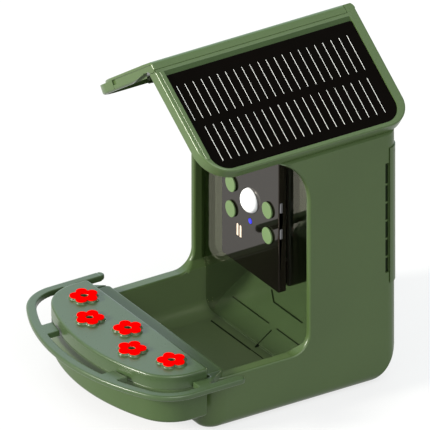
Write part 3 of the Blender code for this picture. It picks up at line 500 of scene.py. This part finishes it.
# ---------------------------------------------------------------- housing shell
def make_housing():
    outer = rounded(-BODY_HALF_W, BODY_HALF_W, BODY_FRONT, BODY_BACK,
                    (BODY_R_FRONT, BODY_R_FRONT, BODY_R_BACK, BODY_R_BACK), 14)
    main = prism("housing_shell", outer, 0.0, 270.0)
    weights = main.data.attributes.new("bevel_weight_edge", 'FLOAT', 'EDGE')
    for e in main.data.edges:
        a, b = (main.data.vertices[i].co for i in e.vertices)
        if a.z < 1e-6 and b.z < 1e-6:
            t = min(max(((a.y + b.y) / 2 / MM - BODY_FRONT) / BODY_R_FRONT, 0.0), 1.0)
            weights.data[e.index].value = FRONT_EDGE_SHARE + (1.0 - FRONT_EDGE_SHARE) * t
    bev = main.modifiers.new("bottom_edge", 'BEVEL')
    bev.limit_method = 'WEIGHT'
    bev.width = BODY_R_BOTTOM * MM
    bev.segments = 9
    apply_mods(main)
    heel = arc(BODY_BACK - HEEL_R, HEEL_R, HEEL_R, -90, 0, 20)
    heel += [(BODY_BACK + 5, HEEL_R), (BODY_BACK + 5, -5), (BODY_BACK - HEEL_R, -5)]
    cut(main, prism("t", heel, -90.0, 90.0, "YZ"))
    # the two rear corners run out rounder towards the ground
    e = (0.537, 0.843)
    far_e = COVER_CX * e[0] + COVER_CY * e[1] + BODY_R_BACK
    profile = arc(far_e - CORNER_FOOT, CORNER_FOOT, CORNER_FOOT, -90, 0, 24)
    profile += [(far_e + 6, CORNER_FOOT), (far_e + 6, -6), (far_e - CORNER_FOOT, -6)]
    for sx in (-1, 1):
        foot = prism("t", profile, -70.0, 70.0, "XZ")
        foot.matrix_world = Matrix(((sx * e[0], -e[1], 0, 0), (e[1], sx * e[0], 0, 0), (0, 0, 1, 0), (0, 0, 0, 1)))
        cut(main, foot)
    side_x = 95.0
    gable = [(-side_x, -5), (side_x, -5), (side_x, roof_z(side_x, ROOF_CEIL + GAP)),
             (12.5, roof_z(12.5, ROOF_CEIL + GAP)), (-12.5, roof_z(12.5, ROOF_CEIL + GAP)),
             (-side_x, roof_z(side_x, ROOF_CEIL + GAP))]
    cut(main, prism("t", gable, -60.0, 120.0, "XZ"), 'INTERSECT')
    c_cut = [(-70, RIM_Z)]
    c_cut += arc(CUT_Y - CUT_R_LOW, RIM_Z + CUT_R_LOW, CUT_R_LOW, -90, 0, 18)
    c_cut += arc(CUT_Y - CUT_R_TOP, CUT_TOP_Z, CUT_R_TOP, 0, 90, 26)
    c_cut += [(CUT_Y - CUT_R_TOP, 290), (-70, 290)]
    cut(main, prism("t", c_cut, -90.0, 90.0, "YZ"))
    for sx in (-1, 1):
        ring = [rounded(20, ROOF_S + 4, ROOF_FRONT - 4, ROOF_BACK + 4, (0, 19, 19, 0)),
                rounded(24, ROOF_S - ROOF_LIP - GAP, ROOF_FRONT + ROOF_LIP + GAP, ROOF_BACK - ROOF_LIP - GAP,
                        (0, ROOF_R[0] - ROOF_LIP - GAP, ROOF_R[1] - ROOF_LIP - GAP, 0))]
        bm = outline_bm(ring, 3.0)
        bmesh.ops.translate(bm, verts=bm.verts, vec=(0, 0, -(ROOF_T + GAP - 3.0) * MM))
        cp, sp_ = math.cos(ROOF_PITCH), math.sin(ROOF_PITCH)
        bmesh.ops.transform(bm, matrix=Matrix(((sx * cp, 0, sx * sp_), (0, 1, 0), (-sp_, 0, cp))).to_4x4(),
                            verts=bm.verts)
        bmesh.ops.translate(bm, verts=bm.verts, vec=(0, 0, RIDGE_Z * MM))
        cut(main, to_object("t", bm))
    inside = arc(-TRAY_HALF_W + TRAY_R, FLOOR_Z + TRAY_R, TRAY_R, 180, 270, 14)
    inside += arc(TRAY_HALF_W - TRAY_R, FLOOR_Z + TRAY_R, TRAY_R, 270, 360, 14)
    inside += [(TRAY_HALF_W, 43.2), (HOPPER_HALF_W, 48.0), (HOPPER_HALF_W, 290), (-HOPPER_HALF_W, 290),
               (-HOPPER_HALF_W, 48.0), (-TRAY_HALF_W, 43.2)]
    cut(main, prism("t", inside, TRAY_FRONT_IN, BACK_IN, "XZ"))
    cut(main, box("t", (-50, 50), (95, 108), (88, 182)), 'UNION')
    cut(main, box("t", (-47, 47), (98, 116), (91, 179)))
    step_y = COVER_Y - GAP
    step_r = COVER_R - COVER_T - GAP
    step_in = arc(COVER_CX, COVER_CY, step_r, math.degrees(math.asin((step_y - COVER_CY) / step_r)), 90, 14)
    step_in = [(90, step_y)] + step_in + [(-x, y) for x, y in reversed(step_in)] + [(-90, step_y), (-90, 125), (90, 125)]
    cut(main, prism("t", step_in, COVER_Z0 - GAP, COVER_Z1 + GAP))
    for sx in (-1, 1):
        x0, x1 = sorted((sx * (HOPPER_HALF_W - 1), sx * (HOPPER_HALF_W + 1.6)))
        cut(main, box("t", (x0, x1), (WIN_Y0 - 0.4, WIN_Y1 + 0.4), (48.5, 260)))

    def rim(f):
        n = f.normal
        return abs(n.x) < 0.02 and all(v.co.z > (RIM_Z - 0.01) * MM and v.co.y < (CUT_Y + 0.01) * MM for v in f.verts)

    def rim_edge(e):
        a, b = e.link_faces
        return rim(a) != rim(b) and max(v.co.z for v in e.verts) < 0.232

    round_edges(main, [(rim_edge, 1.9, 5)], 35.0)
    for sx in (-1, 1):
        for z0, z1 in SLOTS:
            x0, x1 = sorted((sx * (BODY_HALF_W - 3.0), sx * (BODY_HALF_W + 2)))
            cut(main, box("t", (x0, x1), (99.9, 102.7), (z0, z1)))
        x0, x1 = sorted((sx * (BODY_HALF_W - 1.1), sx * (BODY_HALF_W + 2)))
        cut(main, box("t", (x0, x1), (99.9, 102.7), (SLOTS[0][0], SLOTS[-1][1])))
    cut(main, rod("t", (0, 32, -2), (0, 32, 4.6), 7.3))
    for sx in (-1, 1):
        cut(main, rod("t", (sx * 24, 103, 26.5), (sx * 24, 118, 26.5), 1.9, 24))
    shade(main, 32.0)
    return main


housing = make_housing()
wear(housing, green_body, "housing", "main_housing")
# painted light: the seed floor and the tray's far side have their own slot, a faint glow standing in for light bouncing
# about in there
housing.data.materials.append(green_floor_painted_bounce)
for f in housing.data.polygons:
    c = f.center / MM
    if abs(c.x) < TRAY_HALF_W + 0.1 and TRAY_FRONT_IN < c.y < BACK_IN and FLOOR_Z - 0.5 < c.z < 43.5:
        if (f.normal.z > 0.05 and f.normal.x > -0.35) or f.normal.x > 0.5:
            f.material_index = 1

# painted shade: dark strips at the back of the side slots, behind the ribs, stand in for the shade inside them
for sx in (-1, 1):
    x0, x1 = sorted((sx * (BODY_HALF_W - 2.95), sx * (BODY_HALF_W - 1.3)))
    for k, (z0, z1) in enumerate(SLOTS):
        strip = box("slot_%d_%d" % (sx, k), (x0, x1), (100.0, 102.6), (z0 + 0.1, z1 - 0.1), 0.3, 2)
        wear(strip, painted_shade_black, "housing")

# ---------------------------------------------------------------- roof slopes
CP, SP = math.cos(ROOF_PITCH), math.sin(ROOF_PITCH)
BOUNDS_Y = [ROOF_FRONT, -14.0, 20.0, 54.0, 88.0, ROOF_BACK]
HINGE_Z = RIDGE_Z - HINGE_DROP


def slope_place(bm, sx):
    m3 = Matrix(((sx * CP, 0, sx * SP), (0, 1, 0), (-SP, 0, CP)))
    bmesh.ops.transform(bm, matrix=m3.to_4x4(), verts=bm.verts)
    bmesh.ops.translate(bm, verts=bm.verts, vec=(0, 0, RIDGE_Z * MM))
    return bm


def slope_solid(name, loops, top, bottom, sx, bevel=()):
    """Flat piece in a slope, between two depths under its top surface."""
    if isinstance(loops[0], tuple) and isinstance(loops[0][0], (int, float)):
        loops = [loops]
    bm = outline_bm(loops, (bottom - top) / 2)
    bmesh.ops.translate(bm, verts=bm.verts, vec=(0, 0, -(top + bottom) / 2 * MM))
    for pick, width, segs in bevel:
        bmesh.ops.bevel(bm, geom=[e for e in bm.edges if pick(e)], offset=width * MM, segments=segs, profile=0.5,
                        affect='EDGES', clamp_overlap=False)
    return to_object(name, slope_place(bm, sx))


def at_depth(d, s_min=-1e9):
    return lambda e: all(abs(v.co.z + d * MM) < 1e-6 for v in e.verts) and any(v.co.x > s_min * MM for v in e.verts)


CAP_ROUND, CAP_REACH = 4.0, 5.55      # ridge rounding; radius of the ridge cap about the hinge axis
KNUCKLE_Y = 114.6                     # the lid's rear knuckle starts here


def ridge_profile():
    """Cross-section of the ridge cap: far slope plane, rounded top, near slope plane, arc about the hinge axis."""
    pts = [(-9.4, roof_z(9.4, ROOF_CEIL)), (-9.4, roof_z(9.4, 0.0))]
    top = RIDGE_Z - CAP_ROUND / CP
    pts += arc(0.0, top, CAP_ROUND, 90 + 34.5, 90 - 34.5, 12)
    foot = HINGE_DROP * SP
    s_end = foot + math.sqrt(CAP_REACH ** 2 - (HINGE_DROP * CP) ** 2)
    x_end = s_end * CP
    a0 = math.degrees(math.atan2(roof_z(x_end, 0.0) - HINGE_Z, x_end))
    pts += arc(0.0, HINGE_Z, CAP_REACH, a0, -80.0, 20)
    return pts


def s_curve_cut():
    """What the far slope's front lip loses below its curved lower edge, as an outline in X and Z."""
    pts = []
    for k in range(25):
        s = 6.6 + 37.4 * k / 24
        t = max(s - 9.0, 0.0) / 35.0
        depth = 6.3 + 3.65 * t * t * (3.0 - 2.0 * t)
        pts.append((-s * CP + depth * SP, RIDGE_Z - s * SP - depth * CP))
    for s, depth in ((44.0, 16.0), (6.6, 16.0)):
        pts.append((-s * CP + depth * SP, RIDGE_Z - s * SP - depth * CP))
    return pts


def outer_top(e):
    """Edges round the outside of a slope's top, the ridge's rounding included."""
    a, b = (v.co / MM for v in e.verts)
    if all(abs(p.z - roof_z(p.x, 0.0)) < 0.02 and abs(p.x) > 62.0 * CP for p in (a, b)):
        return True
    return all((abs(p.y - ROOF_FRONT) < 0.02 or abs(p.y - ROOF_BACK) < 0.02) and p.z > roof_z(p.x, 1.2) for p in (a, b))


def make_slope(name, sx):
    plan = rounded(-12, ROOF_S, ROOF_FRONT, ROOF_BACK, (0, ROOF_R[0], ROOF_R[1], 0), 18)
    ob = slope_solid(name, plan, 0.0, ROOF_T, sx, [(at_depth(ROOF_T, 0.0), 2.0 if sx < 0 else 0.8, 4)])
    x0, x1 = sorted(((-9.0 if sx < 0 else 0.2), -40 * sx))
    cut(ob, box("t", (x0, x1), (-70, 140), (200, 290)))
    pocket = rounded(9.5, ROOF_S - ROOF_LIP, ROOF_FRONT + ROOF_LIP, ROOF_BACK - ROOF_LIP,
                     (1, ROOF_R[0] - ROOF_LIP, ROOF_R[1] - ROOF_LIP, 1), 14)
    cut(ob, slope_solid("t", pocket, ROOF_CEIL, ROOF_T + 4, sx))
    if sx < 0:
        cut(ob, prism("t", ridge_profile(), ROOF_FRONT, ROOF_BACK, "XZ"), 'UNION')
        # room for the lid's rear knuckle, with the short dip before it
        cut(ob, rod("t", (0, KNUCKLE_Y - 0.35, HINGE_Z), (0, 140, HINGE_Z), CAP_REACH + 0.4, 56))
        cut(ob, box("t", (-4, 7), (110.4, 113.6), (264.1, 280), 0.3, 3))
        cut(ob, rod("t", (0, -46.0, HINGE_Z), (0, 117, HINGE_Z), PIN_R + GAP, 20))
        # front edge: thin parting line, clip window, curved lower edge of the lip, stepped eave
        cut(ob, slope_solid("t", rounded(1.0, 63.3, ROOF_FRONT - 2, ROOF_FRONT + 0.55, 0), 1.95, 2.4, -1))
        cut(ob, slope_solid("t", rounded(57.9, 63.3, ROOF_FRONT - 2, ROOF_FRONT + 1.3, 0), 2.3, 5.8, -1))
        cut(ob, slope_solid("t", rounded(62.9, 63.3, ROOF_FRONT - 2, ROOF_FRONT + 0.5, 0), 5.5, 10.5, -1))
        cut(ob, prism("t", s_curve_cut(), ROOF_FRONT - 1, ROOF_FRONT + 3.35, "XZ"))
        skin = [rounded(-20.0, ROOF_S + 4, ROOF_FRONT - 4, 140, 0),
                rounded(-15.0, ROOF_S - 2.3, ROOF_FRONT - 0.02, 135, (0, ROOF_R[0] + 9.0, 0, 0), 18)]
        cut(ob, slope_solid("t", skin, -3.0, 2.2, -1))
    else:
        cut(ob, rod("t", (0, -60, HINGE_Z), (0, KNUCKLE_Y, HINGE_Z), CAP_REACH + 0.4, 56))
        cut(ob, rod("t", (0, -60, HINGE_Z), (0, 117, HINGE_Z), PIN_R + GAP, 20))
    # rounded end of the ridge line at the rear
    end = arc(ROOF_BACK - 3.2, RIDGE_Z - 3.2, 3.2, 90, 0, 8) + [(ROOF_BACK + 2, RIDGE_Z - 3.2), (ROOF_BACK + 2, RIDGE_Z + 2),
                                                                (ROOF_BACK - 3.2, RIDGE_Z + 2)]
    cut(ob, prism("t", end, -9.0, 9.0, "YZ"))
    round_edges(ob, [(outer_top, 1.4, 4)], 40.0)
    return ob


def panel_plan(grow, y0=PANEL_Y0):
    return rounded(PANEL_S0 - grow, PANEL_S1 + grow, y0 - grow, PANEL_Y1 + grow,
                   (1.5, PANEL_R + grow, PANEL_R + grow, 1.5), 14)


far = make_slope("roof_far", -1)
shade(far, 32.0)
wear(far, green_roof, "housing", "roof_left")

near = make_slope("lid_frame", 1)
cut(near, slope_solid("t", panel_plan(GAP), -2.0, PANEL_POCKET, 1))
# the frame falls away towards the panel along the ridge side
fall = [(s * CP + d * SP, RIDGE_Z - s * SP + d * CP) for s, d in ((9.0, 0.0), (13.7, -1.3), (13.7, 4.0), (9.0, 4.0))]
cut(near, prism("t", fall, PANEL_Y0, PANEL_Y1, "XZ"))
# fine step line round the frame, just inside its rounded edge
line = [rounded(-20.0, ROOF_S - i, ROOF_FRONT + i, ROOF_BACK - i, (0, ROOF_R[0] - i, ROOF_R[1] - i, 0), 18) for i in (2.3, 3.1)]
groove = slope_solid("t", line, -2.0, 0.8, 1)
cut(groove, box("t", (-20, 120), (-70.0, -37.0), (150, 300)))
cut(near, groove)
shade(near, 32.0)
wear(near, green_roof, "solar_lid", "solar_frame")

# painted shade: a dull darker strip laid along the ridge side of the frame next to the panel stands in for the shade
# there
shade_strip_profile = [(s * CP + d * SP, RIDGE_Z - s * SP + d * CP) for s, d in ((9.7, -0.10), (13.55, -1.16), (13.55, -1.9), (9.7, -0.9))]
band = prism("panel_shade_strip", shade_strip_profile, PANEL_Y0 + 0.2, PANEL_Y1 - 0.2, "XZ")
round_edges(band, [(lambda e: True, 0.06, 2)], 40.0)
shade(band, 32.0)
wear(band, green_painted_shade, "solar_lid")

# raised lip over the panel's front edge
lip = slope_solid("panel_lip", rounded(9.5, 86.0, -46.0, -42.5, (0.8, 1.7, 1.7, 0.8)), -0.55, 1.2, 1,
                  [(at_depth(-0.55), 0.5, 4)])
shade(lip, 40.0)
wear(lip, green_roof, "solar_lid")

glass = slope_solid("panel_glass", panel_plan(0), 0.6, 1.8, 1, [(at_depth(0.6), 0.35, 2)])
shade(glass, 40.0)
wear(glass, panel_black, "solar_lid", "solar_glass")


def strips():
    bm_all = bmesh.new()
    for row, (s0, s1, first, count) in enumerate(((23.6, 53.2, -38.6, 22), (60.0, 89.6, 103.5 - 20 * 6.86, 21))):
        for i in range(count):
            y = first + 6.86 * i
            bm = outline_bm([rounded(s0, s1, y - 0.14, y + 0.14, 0.13, 4)], 0.06)
            bmesh.ops.translate(bm, verts=bm.verts, vec=(0, 0, -0.56 * MM))
            me = bpy.data.meshes.new("s")
            bm.to_mesh(me)
            bm.free()
            bm_all.from_mesh(me)
            bpy.data.meshes.remove(me)
    return to_object("cell_lines", slope_place(bm_all, 1))


wear(strips(), bus_pale, "solar_lid")

# ---------------------------------------------------------------- nectar cup, lid, flowers, rail
cup = prism("cup_body", cup_outline(0.3, r_back=2.5), CUP_Z0, 50.1,
            bevel=[(lambda e: all(abs(v.co.z - CUP_Z0 * MM) < 1e-6 for v in e.verts), 2.4, 4)])
cut(cup, prism("t", cup_outline(0.3 + CUP_WALL, CUP_BACK, 1.2), CUP_Z0 + 2.4, 60.0))
# rebate that the lid's outer skirt drops into
cut(cup, prism("t", [cup_outline(-4.0, r_back=2.5), cup_outline(1.45, r_back=1.4)], 47.5, 60.0))
low = prism("t", [cup_outline(-4.0, r_back=2.5), cup_outline(1.45, r_back=1.4)], 43.2, 50.0)
cut(low, box("t", (-120, 120), (-59.0, 0.0), (30, 60)))
cut(cup, low)
flange = [(-76.4, -36.8), (-76.4, -50.0), (-70.0, -52.2), (70.0, -52.2), (76.4, -50.0), (76.4, -36.8),
          (74.9, -35.3), (-74.9, -35.3)]
cut(cup, prism("t", flange, RIM_Z + 0.4, 47.1), 'UNION')
cut(cup, box("t", (-60, 60), (-41.2, -38.6), (34.0, RIM_Z + 2)), 'UNION')
moulded(cup, 0.62, 4)
wear(cup, green_wall, "nectar_tray", "nectar_cup")

plate = prism("lid_plate", cup_outline(0.0, r_back=2.6), LID_Z0, LID_Z1,
              bevel=[(lambda e: all(abs(v.co.z - LID_Z1 * MM) < 1e-6 for v in e.verts), 1.3, 4)])
cut(plate, prism("t", [cup_outline(5.2), cup_outline(7.0)], 44.0, LID_Z0 + 1.5), 'UNION')
for fx, fy, turn in FLOWERS:
    cut(plate, prism("t", flower_outline(fx, fy, turn, 6.35, 4.85), LID_Z1 - 1.0, BOSS_Z + 0.1), 'UNION')
for fx, fy, turn in FLOWERS:
    cut(plate, rod("t", (fx, fy, 40), (fx, fy, 60), PORT_R, 40))
moulded(plate, 0.45, 4)
wear(plate, green_cup, "nectar_top", "nectar_lid")
skirt = prism("lid_skirt", [cup_outline(0.06, r_back=2.54), cup_outline(1.2, r_back=1.6)], 43.4, 52.0)
cut(skirt, box("t", (-120, 120), (-59.4, 0.0), (30, 47.56)))
shade(skirt, 40.0)
wear(skirt, green_cup, "nectar_top")
# painted shade: near-black discs down in the feeding holes stand in for the shade inside them
for i, (fx, fy, turn) in enumerate(FLOWERS):
    hole_shade_disc = rod("port_%d" % (i + 1), (fx, fy, 50.6), (fx, fy, 51.6), PORT_R - 0.1, 32, bevel=0.2, segs=2)
    shade(hole_shade_disc, 40.0)
    wear(hole_shade_disc, painted_shade_black, "nectar_top")
for i, (fx, fy, turn) in enumerate(FLOWERS):
    top = (lambda e: all(abs(v.co.z - PETAL_Z1 * MM) < 1e-6 for v in e.verts))
    petal = prism("petal_%d" % (i + 1), [flower_outline(fx, fy, turn, 6.35, 4.2), circle(fx, fy, PORT_R, 40)],
                  BOSS_Z + 0.12, PETAL_Z1, bevel=[(top, 0.3, 3)])
    shade(petal, 40.0)
    wear(petal, petal_red, "nectar_top", "flower_%d" % (i + 1))


def rail_path():
    cy = RAIL_FRONT + RAIL_ARC
    ccx = RAIL_X - RAIL_CORNER
    ccy = cy - math.sqrt((RAIL_ARC - RAIL_CORNER) ** 2 - ccx ** 2)
    join = math.degrees(math.atan2(ccy - cy, ccx))
    pts = [(RAIL_X, RAIL_END), (RAIL_X, -45.0)]
    pts += arc(ccx, ccy, RAIL_CORNER, 0, join, 30)
    pts += arc(0, cy, RAIL_ARC, join, -180 - join, 70)[1:-1]
    pts += arc(-ccx, ccy, RAIL_CORNER, -180 - join, -180, 30)
    pts += [(-RAIL_X, -45.0), (-RAIL_X, RAIL_END)]
    return pts


def offset_path(pts, d):
    out = []
    for i, (x, y) in enumerate(pts):
        ax, ay = pts[max(i - 1, 0)]
        bx, by = pts[min(i + 1, len(pts) - 1)]
        tx, ty = bx - ax, by - ay
        ln = math.hypot(tx, ty)
        out.append((x - ty / ln * d, y + tx / ln * d))
    return out


half = RAIL_W / 2
path = rail_path()
plan = offset_path(path, -half)
plan += arc(-RAIL_X, RAIL_END, half, 180, 0, 12)[1:-1]
plan += list(reversed(offset_path(path, half)))
plan += arc(RAIL_X, RAIL_END, half, 180, 0, 12)[1:-1]
rail = prism("rail_bar", plan, RAIL_Z0, RAIL_Z1, bevel=[(flat_edge, 1.25, 4)])
for sx in (-1, 1):
    spoke = [(sx * 36.0, -102.5), (sx * 36.0, -117.4), (sx * 50.0, -113.4), (sx * 50.0, -99.6)]
    cut(rail, prism("t", spoke, 43.4, 47.2), 'UNION')
    web = [(sx * (CUP_HALF_W + 0.3), -64.6), (sx * 94.0, -64.6), (sx * 94.0, -61.0), (sx * (CUP_HALF_W + 0.3), -44.6)]
    cut(rail, prism("t", web, 43.4, 47.2), 'UNION')
    ear = [(sx * 76.7, -49.6), (sx * 83.0, -49.6), (sx * 83.0, -45.8), (sx * 76.7, -37.0)]
    cut(rail, prism("t", ear, 43.4, 47.2), 'UNION')
moulded(rail, 0.42, 5)
wear(rail, green_cup, "nectar_tray", "perch_rail")

# ---------------------------------------------------------------- camera face
face = rounded(-BEZEL_HALF_W, BEZEL_HALF_W, BEZEL_Z0, BEZEL_Z1, (1.2, 1.2, 8, 8))
holes = [circle(0, LENS_Z, 11.4, 56), circle(0, DOME_Z, DOME_R + GAP, 56), circle(0, LED_Z, 2.4, 28)]
for bx in BAR_X:
    holes.append(rounded(bx - 1.5, bx + 1.5, BAR_Z - 5.1, BAR_Z + 5.1, 1.0))
for sx in (-1, 1):
    for cz in (CAP_Z0, CAP_Z1):
        holes.append(circle(sx * CAP_X, cz, 1.6, 20))
bezel = prism("bezel_cover", [face] + holes, BEZEL_Y0, BEZEL_Y1, "XZ")
for sx in (-1, 1):
    for cz in (CAP_Z0, CAP_Z1):
        cut(bezel, rod("t", (sx * CAP_X, 34, cz), (sx * CAP_X, 38.2, cz), 3.4, 28))
for bz in BUTTON_Z:
    cut(bezel, box("t", (34.0, 40.0), (36.6, 39.4), (bz - 4.3, bz + 4.3)))
front = (lambda e: all(abs(v.co.y - BEZEL_Y0 * MM) < 1e-6 for v in e.verts)
         and any(abs(f.normal.y) < 0.1 and (abs(f.calc_center_median().x) > 0.0375
                                            or f.calc_center_median().z < 0.0715
                                            or f.calc_center_median().z > 0.1865) for f in e.link_faces))
round_edges(bezel, [(front, 0.7, 3)], 60.0)
shade(bezel, 35.0)
wear(bezel, bezel_black, "housing", "camera_bezel")

i = 0
for sx in (-1, 1):
    for cz in (CAP_Z0, CAP_Z1):
        i += 1
        cap = rod("cap_%d" % i, (sx * CAP_X, 35.6, cz), (sx * CAP_X, 34.1, cz), CAP_R, 64, bevel=0.45)
        shade(cap, 40.0)
        wear(cap, green_cap, "housing", "cap_plug_%d" % i)

prof = [(0.0, DOME_OUT)]
for k in range(1, 24):
    a = math.radians(90 - 90 * k / 24)
    prof.append((DOME_R * math.cos(a), DOME_OUT * math.sin(a)))
prof += [(DOME_R, 0.0), (DOME_R, -2.6), (0.0, -2.6)]
dome = turned("dome", prof, (0, BEZEL_Y0, DOME_Z))
shade(dome, 50.0)
wear(dome, dome_white, "housing", "sensor_dome")

# low ribs moulded on the seed ramp, standing a little out of it; their near-black colour is painted shade for the
# shaded lines there
def ramp_z(y):
    return 9.8 + (y - 48.1) * 38.2 / 57.3


for k, (a, b, r) in enumerate((((-60.4, 59.6), (-12.2, 59.6), 0.50), ((-2.1, 59.7), (28.1, 59.7), 0.50),
                               ((-25.0, 71.8), (13.0, 71.8), 0.60), ((-25.0, 71.8), (-36.0, 77.0), 0.60))):
    rib = rod("ramp_rib_%d" % k, (a[0], a[1], ramp_z(a[1]) + 0.1), (b[0], b[1], ramp_z(b[1]) + 0.1), r, 16)
    round_edges(rib, [(lambda e: True, 0.2, 3)], 50.0)
    shade(rib, 40.0)
    wear(rib, painted_shade_black, "housing")
# short web from the floor up the ramp, and the low sill line in front of the ramp's foot, both near-black as painted
# shade
web = prism("ramp_web", [(43.0, 6.0), (46.4, 6.0), (48.3, 9.3), (57.1, 15.2), (57.1, 16.4), (43.0, 6.5)], -5.5, -4.5, "YZ")
round_edges(web, [(lambda e: True, 0.2, 3)], 30.0)
shade(web, 40.0)
wear(web, painted_shade_black, "housing")
for k, (x0, x1, y, r) in enumerate(((-55.6, -3.4, 38.4, 0.62), (-2.6, 12.8, 38.6, 0.40))):
    sill = rod("floor_sill_%d" % k, (x0, y, FLOOR_Z + 0.1), (x1, y, FLOOR_Z + 0.1), r, 16)
    round_edges(sill, [(lambda e: True, 0.15, 3)], 50.0)
    shade(sill, 40.0)
    wear(sill, painted_shade_black, "housing")

# ---------------------------------------------------------------- frame nodes that keep their mesh
for node, mat in (("pole_insert", brass), ("hinge_pin", steel), ("solar_cells", cells_dark), ("junction_box", soft_black),
                  ("hopper_window", window_clear), ("seed_ramp", green_ramp_painted_glow), ("camera_housing", case_black),
                  ("lens_barrel", case_black), ("lens_glass", bezel_black), ("status_led", led_blue),
                  ("light_bar_1", bar_cream), ("light_bar_2", bar_cream), ("reset_button", key_grey),
                  ("power_button", key_grey), ("main_board", board), ("speaker", soft_black),
                  ("charge_socket", steel), ("battery", wrap_blue), ("rear_cover", green_body),
                  ("mount_plate", soft_black), ("plate_screw_1", steel), ("plate_screw_2", steel),
                  ("camera_screw_1", steel), ("camera_screw_2", steel), ("camera_screw_3", steel),
                  ("camera_screw_4", steel), ("lid_seal", rubber)):
    ob = NODES[node]
    if ob.data.materials:
        for k in range(len(ob.data.materials)):
            ob.data.materials[k] = mat
    else:
        ob.data.materials.append(mat)

# ---------------------------------------------------------------- floor, light, camera
bm = bmesh.new()
bmesh.ops.create_grid(bm, x_segments=1, y_segments=1, size=6.0)
bmesh.ops.translate(bm, verts=bm.verts, vec=(0, 0, -0.0003))
floor = to_object("floor", bm)
fm, fnt, fb = new_material("floor_pale")
fb.inputs["Base Color"].default_value = (0.13, 0.13, 0.13, 1.0)
fb.inputs["Emission Color"].default_value = (1.0, 1.0, 1.0, 1.0)
fb.inputs["Emission Strength"].default_value = 0.72
fb.inputs["Roughness"].default_value = 0.9
fb.inputs["Specular IOR Level"].default_value = 0.0
floor.data.materials.append(fm)


def sun(name, to_light, strength, colour, angle):
    l = bpy.data.lights.new(name, 'SUN')
    l.energy = strength
    l.color = colour
    l.angle = math.radians(angle)
    o = bpy.data.objects.new(name, l)
    looks.objects.link(o)
    o.rotation_euler = Vector(to_light).to_track_quat('Z', 'Y').to_euler()
    return o


sun("key", (-0.22, -0.90, 0.38), 9.2, (1.0, 0.97, 0.88), 14)
sun("sheen", (-0.75, 0.47, 0.47), 1.2, (0.72, 0.93, 1.0), 70)
sun("fill", (0.55, 0.15, 0.82), 1.5, (0.95, 0.99, 1.0), 50)
sun("side", (0.85, -0.25, 0.47), 2.3, (1.0, 1.0, 0.96), 40)

world = bpy.data.worlds.new("studio")
bpy.context.scene.world = world
world.use_nodes = True
world.node_tree.nodes["Background"].inputs["Color"].default_value = (0.92, 0.98, 1.0, 1.0)
world.node_tree.nodes["Background"].inputs["Strength"].default_value = 0.82

cam = bpy.data.cameras.new("camera")
cam.type = 'ORTHO'
cam.ortho_scale = 0.430 / 1.4
cam_ob = bpy.data.objects.new("camera", cam)
looks.objects.link(cam_ob)
to_cam = Vector((0.7454, -0.4748, 0.4679)).normalized()
cam_ob.location = Vector((0.00276, 0.00434, 0.1275)) + to_cam * 1.5
cam_ob.rotation_euler = to_cam.to_track_quat('Z', 'Y').to_euler()
cam.clip_end = 20.0
bpy.context.scene.camera = cam_ob
bpy.context.scene.view_settings.view_transform = 'Standard'
